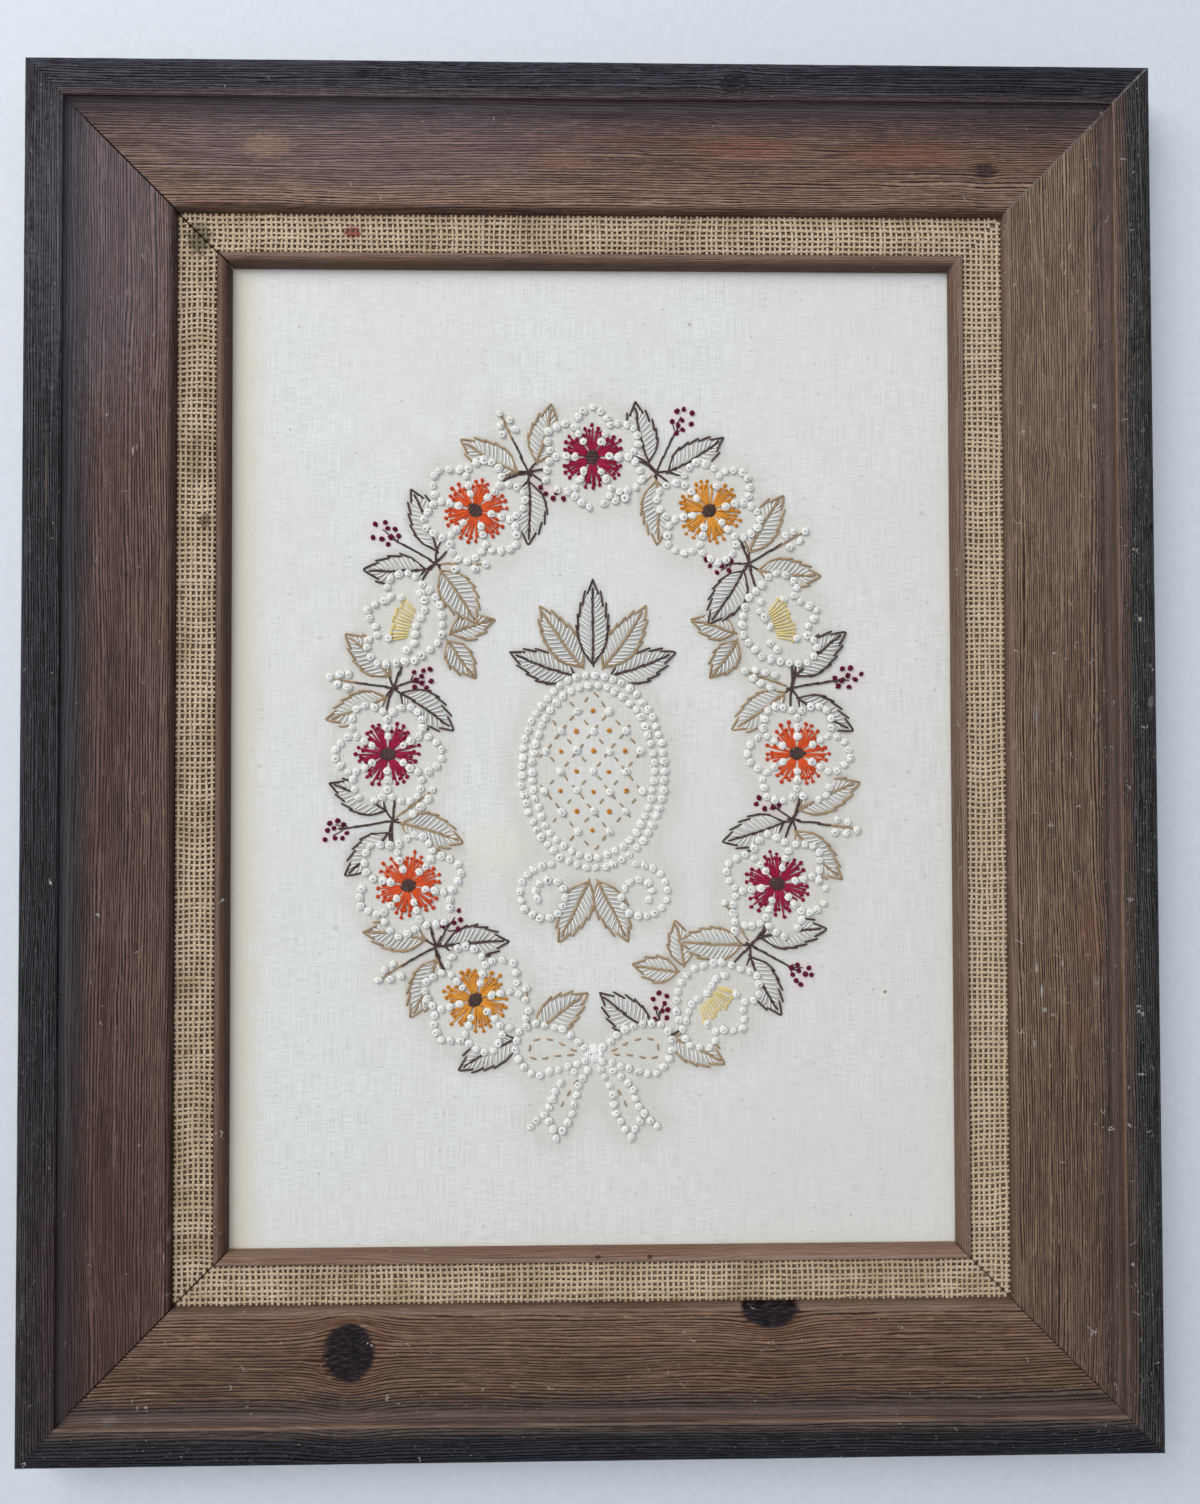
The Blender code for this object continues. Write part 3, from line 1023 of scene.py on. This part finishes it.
def leaf(thread, base, tip, width, bend=0.0):
    """A toothed leaf: straight stitches around it, a midrib and a fishbone of fine white ones."""
    axis = tip - base
    length = abs(axis)
    way = axis / length

    def spot(t, across):
        return base + axis * t + 1j * way * (across + bend * length * t * (1 - t))

    def half(t):
        return width * math.sin(math.pi * min(t, 1.0) ** 0.8) ** 0.85 if 0 < t < 1 else 0.0

    around = [(t, half(t) + 0.5) for t in np.linspace(0, 1, 11)]
    around += [(t, -across) for t, across in around[::-1]]
    motif(np.array([spot(*at) for at in around]))
    teeth = max(4, round(length / TOOTH))
    for side in (1, -1):
        for i in range(teeth):
            low, high = i / teeth, (i + 1) / teeth
            start = spot(low - 0.02, side * half(low) * 0.94)
            if i == teeth - 1:
                end = spot(1.04, 0)
            else:
                end = spot(high + 0.04, side * (half(high) + 0.6))
            stitch(thread, start, end)
    stem(thread, [spot(t, 0) for t in np.linspace(-0.04, 0.9, 12)], 3.6, 0.40)
    for t in np.arange(0.05, 0.88, FISHBONE / length):
        for side in (1, -1):
            outer = min(t + FISHBONE_LEAN / length + HAND.normal(0, 0.008), 0.97)
            reach = half(outer) - 0.55
            if reach > 1.0:
                stitch("fine_white", spot(t, 0.6 * side), spot(outer, side * reach), 0.36)


def satin(thread, centre, half_x, half_y, turn=0.0, radius=STRAND):
    """Close parallel stitches that fill an oval."""
    way = complex(math.cos(turn), math.sin(turn))
    rows = max(3, round(2 * half_x / (1.25 * radius)))
    for across in np.linspace(-half_x, half_x, rows):
        reach = half_y * math.sqrt(max(0.08, 1 - (across / half_x) ** 2))
        ends = [centre + way * complex(across, end) for end in (-reach, reach)]
        stitch(thread, *ends, radius)


# A rosette: how many petals, and how far out their tips, their valleys and the knots between lie
PETALS = 6
PETAL_TIP = 21.5
PETAL_VALLEY = 14.4
BETWEEN_PETALS = (10.7, 7.0)

# The long stitches in each petal: where they start, how far they lean and how far they reach
RAY_START = 2.2
RAYS = (
    (-0.34, 9.2), (-0.23, 11.8), (-0.11, 10.2), (0.0, 12.6), (0.11, 10.2), (0.23, 11.8), (0.34, 9.2)
)


def rosette(centre, turn, thread):
    """A flower of six petals in knots, with long coloured stitches around its middle."""
    petal = math.pi / PETALS
    angle = np.linspace(-petal, petal, 25)
    petals = []
    for k in range(PETALS):
        tip = PETAL_TIP + HAND.normal(0, 0.6)
        rho = PETAL_VALLEY + (tip - PETAL_VALLEY) * (1 - np.abs(angle) / petal) ** 0.58
        petals.append(centre + rho * np.exp(1j * (turn + 2 * k * petal + angle)))
    motif(centre + 1.05 * (np.concatenate(petals) - centre))
    for k, line in enumerate(petals):
        middle = turn + 2 * k * petal
        for where in spaced(line, KNOT_STEP)[:-1]:
            knot("ivory", where)
        between = np.exp(1j * (middle + petal))
        for far in BETWEEN_PETALS:
            knot("ivory", centre + far * between)
        for lean, reach in RAYS:
            ray = np.exp(1j * (middle + lean + HAND.normal(0, 0.02)))
            far = reach + HAND.normal(0, 0.35)
            stitch(thread, centre + RAY_START * ray, centre + far * ray)
            knot(thread, centre + (far + 0.4) * ray, 0.50)
    satin("brown", centre, 3.0, 3.0, turn)


# How far ahead of a half flower's base its stamens start, and how far they stand to each side
STAMEN_FOOT = 12.8
STAMENS_HALF = 5.6


def half_flower(base, way, thread):
    """A flower from the side: a cup of knots, a row of stamens in it and three petals behind."""

    def spot(across, ahead):
        return base + way * ahead - 1j * way * across

    def arch(*half):
        """A curve through places, of which the last is the middle, and their mirror images."""
        return curve(*[spot(*at) for at in half], *[spot(-x, y) for x, y in half[-2::-1]])

    petals = arch((17, 14), (19.5, 21), (13, 27.5), (7.5, 24.5), (0, 31.5))
    cup = arch((-17, 14), (-11.5, 5), (0, 0))
    rim = arch((13.5, 13), (7, 9.5), (0, 11.0))
    whole = np.concatenate([petals, cup])
    middle = spot(0, 15)
    motif(middle + 1.05 * (whole - middle))
    for line in (petals, cup, rim):
        knot_line(line)
    for mirror in (1, -1):
        knot_line(np.array([spot(7.5 * mirror, 24.5), spot(8.5 * mirror, 20)]))
    for across in np.linspace(-STAMENS_HALF, STAMENS_HALF, 12):
        length = 7.2 - 0.03 * across**2 + HAND.normal(0, 0.4)
        top = spot(across * 1.6, STAMEN_FOOT + length)
        stitch(thread, spot(across, STAMEN_FOOT), top, 0.38)
        knot(thread, top, 0.46)


# A cluster: its berries, the room around each, tries to place them, and half its length and width
BERRIES = 9
BERRY_ROOM = 2.5
BERRY_TRIES = 300
CLUSTER_LENGTH = 5.8
CLUSTER_WIDTH = 4.6
CLUSTER_MIDDLE = 8.5


def berries(stalk, way):
    """A loose cluster of small burgundy knots on a brown stalk."""
    motif()
    places = []
    for _ in range(BERRY_TRIES):
        reach = HAND.uniform(-CLUSTER_LENGTH, CLUSTER_LENGTH)
        off = HAND.uniform(-CLUSTER_WIDTH, CLUSTER_WIDTH)
        where = stalk + way * (CLUSTER_MIDDLE + reach) + 1j * way * off
        roomy = all(abs(where - other) > BERRY_ROOM for other in places)
        in_oval = (reach / CLUSTER_LENGTH) ** 2 + (off / CLUSTER_WIDTH) ** 2 < 1
        if roomy and in_oval and len(places) < BERRIES:
            places.append(where)
            knot("burgundy", where, 0.64)
    stem("brown", [stalk - way * 4.0, stalk + way * 6.0], 3.4, 0.36)
    for where in places[:4]:
        root = stalk + way * 3.0
        stitch("brown", root + 0.2 * (where - root), root + 0.72 * (where - root), 0.26)


# Where a sprig's pairs of knots start, and how far apart the pairs are and the knots from the stem
PAIR_START = 3.2
PAIR_STEP = 4.1
PAIR_HALF = 2.7


def sprig(stalk, way, count=3):
    """Ivory knots in pairs on a tan stem."""
    motif()
    for k in range(count):
        for off in (PAIR_HALF, -PAIR_HALF):
            along = PAIR_START + PAIR_STEP * k
            knot("ivory", stalk + way * along + 1j * way * off * (1 - 0.16 * k))
    knot("ivory", stalk + way * (PAIR_START + PAIR_STEP * count))
    stem("tan", [stalk - way * 3.0, stalk + way * (1.4 + PAIR_STEP * count)], 3.4, 0.34)


# The oval's half width and half height, and its places for flowers
WREATH = (83.0, 121.0)
STATIONS = 12


def wreath_place(share):
    """A place on the oval wreath and its way out, for a share of its length from the top."""
    angle = np.linspace(0, 2 * math.pi, 721)
    line = WREATH[0] * np.sin(angle) + 1j * WREATH[1] * np.cos(angle)
    far = np.concatenate([[0], np.cumsum(np.abs(np.diff(line)))])
    at = np.interp((share % 1) * far[-1], far, angle)
    where = complex(WREATH[0] * math.sin(at), WREATH[1] * math.cos(at))
    out = complex(math.sin(at) / WREATH[0], math.cos(at) / WREATH[1])
    return where, out / abs(out)


BOW_SCALE = 0.88


def bow(centre):
    """Two loops and two tails of ribbon, drawn in knots."""

    def ribbon(mirror, *places):
        return [centre + BOW_SCALE * complex(mirror * x, y) for x, y in places]

    for mirror in (1, -1):
        loop = [(4, 3), (16, 12), (31, 13), (36, 2), (28, -9), (14, -6), (4, -3)]
        loop = curve(*ribbon(mirror, *loop))
        motif(loop)
        knot_line(loop)
        seam = [(8, 1), (18, 6), (28, 6), (29, -2), (18, -1), (9, -0.5)]
        running("tan", curve(*ribbon(mirror, *seam)))
    for mirror in (1, -1):
        inner = curve(*ribbon(mirror, (3, -7), (8, -17), (10, -27), (17, -38)))
        outer = curve(*ribbon(mirror, (9, -8), (17, -15), (21, -25), (29, -33)))
        notch = np.array([inner[-1], *ribbon(mirror, (20.5, -30.5)), outer[-1]])
        tail = np.concatenate([inner, notch[1:], outer[-2::-1]])
        middle = tail.mean()
        motif(middle + 1.12 * (tail - middle))
        for line in (inner, outer, notch):
            knot_line(line)
        running("tan", curve(*ribbon(mirror, (7.5, -12), (13, -20), (16, -27))))
    motif()
    satin("white", centre, 3.2, 4.2, 0.0, 0.5)


# The pineapple's half width and half height, how far its second oval lies inside the first, and
# the cells of its lattice: their width and how steep their sides are
PINEAPPLE = (29.0, 39.0)
LATTICE_INSET = 4.3
CELL = 13.0
CELL_RISE = 1.25


def pineapple(centre):
    """The candlewick sign of welcome: a latticed oval with a crown of leaves and two scrolls."""
    angle = np.linspace(0, 2 * math.pi, 121)[:-1]
    half_x, half_y = PINEAPPLE
    ovals = [
        centre + (half_x - inset) * np.cos(angle) + 1j * (half_y - inset) * np.sin(angle)
        for inset in (0.0, LATTICE_INSET)
    ]
    motif(centre + 1.04 * (ovals[0] - centre))
    for oval in ovals:
        knot_line(oval, closed=True)
    for lean in (1, -1):
        for k in range(-6, 7):
            x = np.linspace(-30, 30, 121)
            y = CELL_RISE * lean * x + k * CELL * CELL_RISE
            inner = (x / (half_x - 7)) ** 2 + (y / (half_y - 7)) ** 2 < 1
            if inner.sum() > 8:
                running("tan", centre + x[inner] + 1j * y[inner], 2.4)
    for row in range(-6, 7):
        for column in range(-4, 5):
            where = complex(column * CELL / 2, row * CELL * CELL_RISE / 2)
            depth = (where.real / half_x) ** 2 + (where.imag / half_y) ** 2
            if depth > 0.52:
                continue
            if (row + column) % 2 == 0:
                knot("ivory", centre + where)
            elif depth < 0.45:
                knot("gold", centre + where, 0.6)
    crown = centre + 1j * (half_y - 3)
    for lean, length, thread in (
        (0, 41, "brown"), (35, 37, "tan"), (-35, 37, "tan"), (70, 35, "brown"), (-70, 35, "brown")
    ):
        way = np.exp(1j * math.radians(90 + lean))
        leaf(thread, crown + 8 * way, crown + length * way, 6.2, 0.10 * np.sign(lean))
    foot = centre - 1j * (half_y + 5)
    for mirror in (1, -1):
        motif()
        turn = np.linspace(0, 1, 60)
        rho = 12.5 - 8.5 * turn
        swirl = np.exp(1j * (math.pi * 0.55 - 2.7 * math.pi * turn))
        spiral = rho * swirl + complex(19, -6)
        knot_line(foot + spiral.real * mirror + 1j * spiral.imag)
        way = complex(0.45 * mirror, -0.9)
        base = foot + complex(2.0 * mirror, -1)
        leaf("tan", base, base + 26 * way, 6.2)


# What the stations hold, clockwise from the top
ROSETTE_THREADS = {
    0: "crimson", 1: "gold", 3: "orange", 4: "crimson",
    7: "gold", 8: "orange", 9: "crimson", 11: "orange",
}
HALF_FLOWERS = (2, 5, 10)
BESIDE_BOW = (5, 6)


def embroider():
    """The whole design: an oval wreath of flowers, leaves and berries around a pineapple."""
    bow(wreath_place(0.5)[0])
    for station in range(STATIONS):
        where, out = wreath_place(station / STATIONS)
        if station in ROSETTE_THREADS:
            rosette(where, math.atan2(out.imag, out.real), ROSETTE_THREADS[station])
        elif station in HALF_FLOWERS:
            half_flower(where - 14 * out, out, "pale_yellow")
    pineapple(complex(0, -7))
    stalks = []
    for gap in range(STATIONS):
        middle, out = wreath_place((gap + 0.5) / STATIONS)
        ahead = -1j * out
        mirror = 1 if gap < STATIONS // 2 else -1
        outer, inner = ("tan", "brown") if gap % 2 else ("brown", "tan")
        lean_in = -out * np.exp(0.46j * mirror)
        lean_back = -out * np.exp(-0.50j * mirror)
        by_bow = gap in BESIDE_BOW
        if gap % 2:
            berries(middle + 4 * lean_back, lean_back)
        else:
            sprig(middle + 5 * lean_back, lean_back)
        if not by_bow:
            if gap % 2:
                sprig(middle + 15 * out, out, 2)
            else:
                berries(middle + 15 * out, out)
            stalks.append((middle - 2 * out, middle + 15 * out))
        for lean in (0.60 * mirror,) if by_bow else (0.60, -0.60):
            way = out * np.exp(1j * (lean + HAND.normal(0, 0.05)))
            base = middle - 3.0 * ahead * np.sign(lean)
            length = 28 + HAND.normal(0, 1.2)
            leaf(outer, base + 3 * way, base + length * way, 6.6, 0.12 * np.sign(lean))
            stalks.append((middle, base + 3 * way))
        leaf(inner, middle + 4 * lean_in, middle + 29 * lean_in, 6.8, 0.10)
        stalks.append((middle, middle + 4 * lean_in))
    # Two leaves at the foot of each half flower
    for station in HALF_FLOWERS:
        where, out = wreath_place(station / STATIONS)
        base = where - 15 * out
        for lean in (0.62, -0.62):
            way = -out * np.exp(1j * lean)
            leaf("tan", base + 3 * way, base + 21 * way, 5.2, 0.10 * np.sign(lean))
        stalks.append((base, where))
    motif()
    # The branch that all of it grows on
    shares = np.linspace(0, 1, 241)
    sway = 2.2 * np.sin(2 * math.pi * STATIONS * shares)
    branch = [where + off * out for (where, out), off in zip(map(wreath_place, shares), sway)]
    stem("brown", branch, 5.0, 0.46)
    for start, end in stalks:
        stem("brown", [start, end])


def inside(outline, places):
    """Which places lie inside a closed outline."""
    before = np.roll(outline, 1)
    x, y = places.real[:, None], places.imag[:, None]
    passed = (outline.imag > y) != (before.imag > y)
    rise = before.imag - outline.imag
    rise = np.where(np.abs(rise) < 1e-9, 1e-9, rise)
    meets = outline.real + (y - outline.imag) * (before.real - outline.real) / rise
    return np.sum(passed & (x < meets), axis=1) % 2 == 1


# Places along a stitch that are tested
SAMPLES = 9


def trimmed(stitches, order, outline):
    """The stitches, without what the outline hides of those that come after a motif."""
    middle = outline.mean()
    reach = np.abs(outline - middle).max() + 4
    kept = []
    for found in stitches:
        start, end, radius, number = found
        if number <= order or abs((start + end) / 2 - middle) > reach:
            kept.append(found)
            continue
        places = start + (end - start) * np.linspace(0, 1, SAMPLES)
        seen = np.concatenate([[0], ~inside(outline, places), [0]]).astype(int)
        edges = np.flatnonzero(np.diff(seen))
        runs = list(zip(edges[::2], edges[1::2] - 1))
        if not runs:
            continue
        first, last = max(runs, key=lambda run: run[1] - run[0])
        if last - first >= SAMPLES // 3:
            kept.append((places[first], places[last], radius, number))
    return kept


# How near to an ivory knot the next one and the middle of a fine stitch may come
KNOT_ROOM = 3.1
STITCH_ROOM = 1.5


def hide_and_thin_out():
    """Drops what lies behind motifs, crowded knots, and fine stitches that run under knots."""
    for number, outline in enumerate(OUTLINES):
        if outline is None:
            continue
        for work in NEEDLEWORK.values():
            places = np.array([where for where, _, _ in work["knots"]], complex)
            behind = np.array([order > number + 1 for _, _, order in work["knots"]], bool)
            behind = behind & inside(outline, places)
            work["knots"] = [found for found, hidden in zip(work["knots"], behind) if not hidden]
            work["stitches"] = trimmed(work["stitches"], number + 1, outline)
    kept = []
    for where, _, order in needlework("ivory")["knots"]:
        if all(abs(where - other) > KNOT_ROOM for other, _, _ in kept):
            kept.append((where, 1.0, order))
    needlework("ivory")["knots"] = kept
    kept = np.array([where for where, _, _ in kept])
    for thread in ("fine_white", "tan", "brown"):
        work = needlework(thread)
        work["stitches"] = [
            found for found in work["stitches"]
            if np.abs(kept - (found[0] + found[1]) / 2).min() > STITCH_ROOM
        ]
    return kept


def knot_yarns(places, sizes, random):
    """The line of the yarn in each knot: nearly two coils that close over the top."""
    count = len(places)
    t = np.linspace(0, 1, KNOT_STEPS)[None, :]
    turns = random.uniform(1.65, 2.15, (count, 1))
    angle = random.uniform(0, 2 * math.pi, (count, 1)) + 2 * math.pi * turns * t
    coil = KNOT_COIL * (1 - t**1.7) + 0.10
    lean = random.normal(0, 0.30, (2, count, 1)) * t
    coil = coil + random.normal(0, 0.07, (count, KNOT_STEPS))
    squash = random.uniform(0.80, 1.12, (count, 1))
    ahead = squash * coil * np.cos(angle) + lean[0]
    aside = coil * np.sin(angle) / np.sqrt(squash) + lean[1]
    way = random.uniform(0, math.pi, (count, 1))
    x = ahead * np.cos(way) - aside * np.sin(way)
    y = ahead * np.sin(way) + aside * np.cos(way)
    tilt = random.normal(0, 0.14, (count, 1))
    up = 0.46 + 1.12 * t**1.1 + tilt * aside * t + random.normal(0, 0.06, (count, KNOT_STEPS))
    scale = np.asarray(sizes)[:, None] * random.uniform(0.90, 1.10, (count, 1))
    places = np.asarray(places)[:, None]
    return np.stack(
        [places.real + scale * x, places.imag + scale * y, CLOTH_TOP + scale * up], axis=-1
    ), scale


def stitch_yarns(stitches, random):
    """The line of the yarn in each straight stitch, in and out of the cloth."""
    start = np.array([s[0] for s in stitches])[:, None]
    end = np.array([s[1] for s in stitches])[:, None]
    radius = np.array([s[2] for s in stitches])[:, None]
    t = np.array([0.0, 0.09, 0.36, 0.66, 0.91, 1.0])[None, :]
    rise = np.array([-0.9, 0.75, 1.25, 1.25, 0.75, -0.9])[None, :]
    wander = random.normal(0, 0.10, (len(stitches), 1)) * np.sin(math.pi * t)
    where = start + (end - start) * t + 1j * (end - start) / np.abs(end - start) * wander
    up = CLOTH_TOP + radius * rise * random.uniform(0.85, 1.15, radius.shape)
    plump = radius * np.array([0.7, 0.95, 1.05, 1.05, 0.95, 0.7])[None, :]
    return np.stack([where.real, where.imag, up], axis=-1), plump


def thread_material(name, low, high):
    """Soft cotton: plies that wind round the strand, and shades from stitch to stitch."""
    material, tree = new_material("thread_" + name, 0.72, 0.15)
    run, around, tint = attribute(tree, "strand")
    ply = 0.5 + 0.5 * maths("SINE", 4 * math.pi * (0.62 * run + around))
    return painted(material, mix(0.35 * ply + 0.65 * tint, low, high), ply, 0.10)


THREADS = {
    "ivory": ((233, 231, 223), (254, 253, 249)),
    "fine_white": ((238, 237, 232), (252, 252, 249)),
    "white": ((240, 239, 235), (252, 252, 249)),
    "tan": ((150, 120, 88), (196, 168, 130)),
    "brown": ((58, 44, 42), (104, 82, 76)),
    "orange": ((196, 56, 28), (246, 114, 58)),
    "gold": ((196, 116, 30), (248, 182, 80)),
    "crimson": ((122, 16, 48), (190, 44, 82)),
    "pale_yellow": ((232, 206, 122), (250, 233, 172)),
    "burgundy": ((88, 14, 42), (140, 36, 72)),
}


def stitch_piece(thread, seed):
    """All that is worked in one thread."""
    random = np.random.default_rng(seed)
    work, yarns = needlework(thread), Yarns()
    if work["stitches"]:
        lines, radius = stitch_yarns(work["stitches"], random)
        yarns.add(lines, radius, 4 if thread == "fine_white" else 5)
    if work["knots"]:
        places, sizes, _ = zip(*work["knots"])
        lines, scale = knot_yarns(places, sizes, random)
        plump = YARN * scale * np.linspace(1.0, 0.86, KNOT_STEPS)
        # Coloured knots take a lower tint: painted shade that darkens them
        yarns.add(lines, plump, 5, tint=1.0 if thread == "ivory" else 0.35)
    return yarns.piece(thread + "_thread", thread_material(thread, *THREADS[thread]), "cotton")


# Cloth

# The spacing of its points and the height of its back
CLOTH_CELL = 2.2
CLOTH_UNDERSIDE = 7.2

# How far from the sight edge the cloth is held flat, its deepest wave and the dimple of a knot
HELD_FLAT = 22.0
DEEPEST = 0.28
DIMPLE = 0.16


def crowd(places, rows, columns):
    """How many places lie around each point of the cloth."""
    half_x, half_y = CLOTH_HALF
    spans = ((-half_y, half_y), (-half_x, half_x))
    count, _, _ = np.histogram2d(places.imag, places.real, (rows, columns), spans)
    for axis in (0, 1):
        count = (np.roll(count, 1, axis) + count + np.roll(count, -1, axis)) / 3
    return count


def cloth(knots, material):
    """The stretched cotton, drawn in a little under each knot."""
    half_x, half_y = CLOTH_HALF
    columns = round(2 * half_x / CLOTH_CELL) + 1
    rows = round(2 * half_y / CLOTH_CELL) + 1
    x, y = np.meshgrid(np.linspace(-half_x, half_x, columns), np.linspace(-half_y, half_y, rows))
    held = smoothstep(0, HELD_FLAT, SIGHT_HALF[0] - np.abs(x))
    held = held * smoothstep(0, HELD_FLAT, SIGHT_HALF[1] - np.abs(y))

    def waves(size, wide, high, seed):
        return size * (value_noise(x / wide + 9, y / high + 9, seed) - 0.5)

    # The dimple under each knot, and how near knots are, which also sets the painted shade around
    # them
    drawn, near = np.zeros_like(x), np.zeros_like(x)
    for where in knots:
        square = (x - where.real) ** 2 + (y - where.imag) ** 2
        drawn = np.maximum(drawn, np.exp(-square / 3.0))
        near += np.exp(-square / 60.0)
    near = np.clip(near / 3, 0, 1)
    # Where the leaves' fine stitches lie, for the painted shade between them
    fine = np.array([[start, end] for start, end, _, _ in needlework("fine_white")["stitches"]])
    leaf_shade_places = np.concatenate([fine @ [1 - t, t] for t in (0.15, 0.5, 0.85)])
    leaf_shade = np.clip(crowd(leaf_shade_places, rows, columns), 0, 1)
    berried = crowd(np.array([k[0] for k in needlework("burgundy")["knots"]]), rows, columns)
    berried = np.clip(2.5 * berried, 0, 1)
    wave = waves(0.55, 34, 40, 301) + waves(0.24, 9, 11, 302) + waves(0.5, 5, 5, 303) * near
    top = CLOTH_TOP + held * np.clip(wave, -DEEPEST, DEEPEST) - DIMPLE * drawn * held
    upper = np.stack([x, y, top], axis=-1).reshape(-1, 3)
    # The sides go down from the rim to the flat back
    rim = np.concatenate(
        [
            np.arange(columns),
            np.arange(2, rows) * columns - 1,
            np.arange(rows * columns - 1, (rows - 1) * columns - 1, -1),
            np.arange(rows - 2, 0, -1) * columns,
        ]
    )
    lower = upper[rim] * [1, 1, 0] + [0, 0, CLOTH_UNDERSIDE]
    below = len(upper) + np.arange(len(rim))
    ahead = np.roll(np.arange(len(rim)), -1)
    sides = np.stack([rim, below, below[ahead], rim[ahead]], axis=-1)
    faces = [strip_faces(rows, columns, flip=True), sides[:, ::-1], below[None, ::-1]]
    made = make_piece(
        "cotton_cloth", np.concatenate([upper, lower]), faces, material, "cotton", 60,
        drawn=np.concatenate(
            [np.stack([near, leaf_shade, berried], axis=-1).reshape(-1, 3), np.zeros((len(rim), 3))]
        ),
    )
    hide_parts("embroidered_cloth")


# Marks: centre and radii, strength and colour
CLOTH_MARKS = [
    ((-40.0, -38.0), (17.0, 12.0), 0.38, (226, 221, 196)),
    ((-58.0, -39.0), (7.0, 4.5), 0.35, (186, 186, 186)),
    ((118.3, -96.9), (0.8, 0.8), 0.9, (150, 132, 108)),
    ((-104.0, -70.0), (1.6, 1.0), 0.5, (190, 180, 160)),
    ((40.0, 176.0), (0.7, 0.7), 0.8, (170, 158, 138)),
]

# How far in from the sight edge the cloth is tanned and painted with shade
TAN_AND_SHADE_EDGE = 11.0


def cloth_material():
    """Cream cotton with a fine weave and slubs, tanned at its left edge. Painted shade lies there,
    around the knots and between the leaves' fine stitches.
    """
    material, tree = new_material("cream_cotton", 0.9, 0.08)
    where, x, y = place(tree)
    knot_shade, leaf_shade, berried = attribute(tree, "drawn")

    def threads(across, along, fine, length):
        return noise(combine(across * (1 / (fine * MM)), along * (1 / (length * MM))), 1.0)

    weave = 0.5 * threads(x, y, 0.45, 14.0) + 0.5 * threads(y, x, 0.50, 6.0)
    bars = 0.5 * threads(x, y, 2.4, 30.0) + 0.5 * threads(y, x, 2.8, 26.0)
    slubs = [ramp(threads(*way, 0.8, 5.0), 0.64, 0.78) for way in ((x, y), (y, x))]
    slub = maths("MAXIMUM", *slubs)
    edge = (TAN_AND_SHADE_EDGE - SIGHT_HALF[0]) * MM
    # Yellowing and painted shade along the left edge
    tan_and_shade = ramp(x + 0.008 * noise(where, 70.0, 3.0), edge + 0.009, edge - 0.003, 0.0, 0.75)
    colour = mix(ramp(weave, 0.32, 0.68), (207, 207, 203), (233, 233, 230))
    for part, shade in (
        (ramp(bars, 0.36, 0.64, 0.0, 0.30), (231, 231, 228)),
        (ramp(noise(where, 16.0, 3.0), 0.35, 0.7, 0.0, 0.5), (219, 218, 213)),
        (0.3 * slub, (242, 241, 236)),
        (ramp(x - 0.5 * y, -0.10, 0.24, 0.0, 0.16), (214, 204, 178)),
        (ramp(noise(where, 640.0, 0.0), 0.815, 0.87, 0.0, 0.6), (152, 148, 138)),
        (ramp(noise(where, 330.0, 0.0), 0.80, 0.86, 0.0, 0.35), (176, 173, 163)),
        (tan_and_shade, (212, 204, 184)),
    ):
        colour = mix(part, colour, shade)
    colour = marked(colour, where, CLOTH_MARKS)
    # Painted shade around the ivory knots and between the leaves' fine white stitches
    colour = mix(0.35 * knot_shade, colour, (196, 188, 172))
    colour = mix(0.70 * leaf_shade, colour, (180, 177, 170))
    colour = mix(0.40 * berried, colour, (226, 196, 198))
    return painted(material, colour, weave + 0.4 * slub, 0.15)


# Camera, light and floor, the camera fitted to the photo's edges of frame and cloth

CAMERA_PLACE = (-6.90, -9.65, 496.2)
CAMERA_TURN = (0.02139, -0.01988, -0.00245)
FOCAL_PIXELS = 1200.0
PHOTO_HEIGHT = 1504
SENSOR = 36.0


def camera():
    data = bpy.data.cameras.new("camera")
    data.sensor_width = SENSOR
    data.lens = FOCAL_PIXELS / PHOTO_HEIGHT * SENSOR
    data.clip_start = 0.01
    made = bpy.data.objects.new("camera", data)
    made.location = [c * MM for c in CAMERA_PLACE]
    made.rotation_euler = CAMERA_TURN
    bpy.context.scene.collection.objects.link(made)
    bpy.context.scene.camera = made
    bpy.context.scene.view_settings.view_transform = "Standard"


def area_light(name, place_m, size, power, colour):
    """A square lamp that shines at the middle of the frame."""
    data = bpy.data.lights.new(name, "AREA")
    data.size = size
    data.energy = power
    data.color = colour
    made = bpy.data.objects.new(name, data)
    made.location = place_m
    direction = made.location.normalized()
    made.rotation_euler = direction.to_track_quat("Z", "Y").to_euler()
    bpy.context.scene.collection.objects.link(made)


def floor():
    material, tree = new_material("floor", 0.6)
    painted(material, mix(noise(place(tree)[0], 260.0, 3.0), (208, 213, 219), (222, 227, 233)))
    bpy.ops.mesh.primitive_plane_add(size=6.0, location=(0, 0, 0))
    plane = bpy.context.object
    plane.name = "floor"
    plane.data.materials.append(material)


def lights():
    world = bpy.data.worlds.new("room")
    bpy.context.scene.world = world
    world.use_nodes = True
    background = world.node_tree.nodes["Background"]
    background.inputs["Color"].default_value = (0.80, 0.88, 1.0, 1.0)
    background.inputs["Strength"].default_value = 0.37
    area_light("window", (-1.2, 1.15, 1.8), 1.6, 36.9, (1.0, 0.99, 0.97))
    area_light("ceiling", (0.0, 0.1, 2.2), 2.0, 15.0, (0.97, 0.98, 1.0))


camera()
lights()
floor()
for number, side in enumerate(SIDES):
    rail(side, wood_material(side, number + 1.0))
for side in SIDES:
    burlap(side, burlap_material(side))

embroider()
ivory_places = hide_and_thin_out()
stitched = [stitch_piece(thread, 500 + number) for number, thread in enumerate(THREADS)]
cloth(ivory_places, cloth_material())
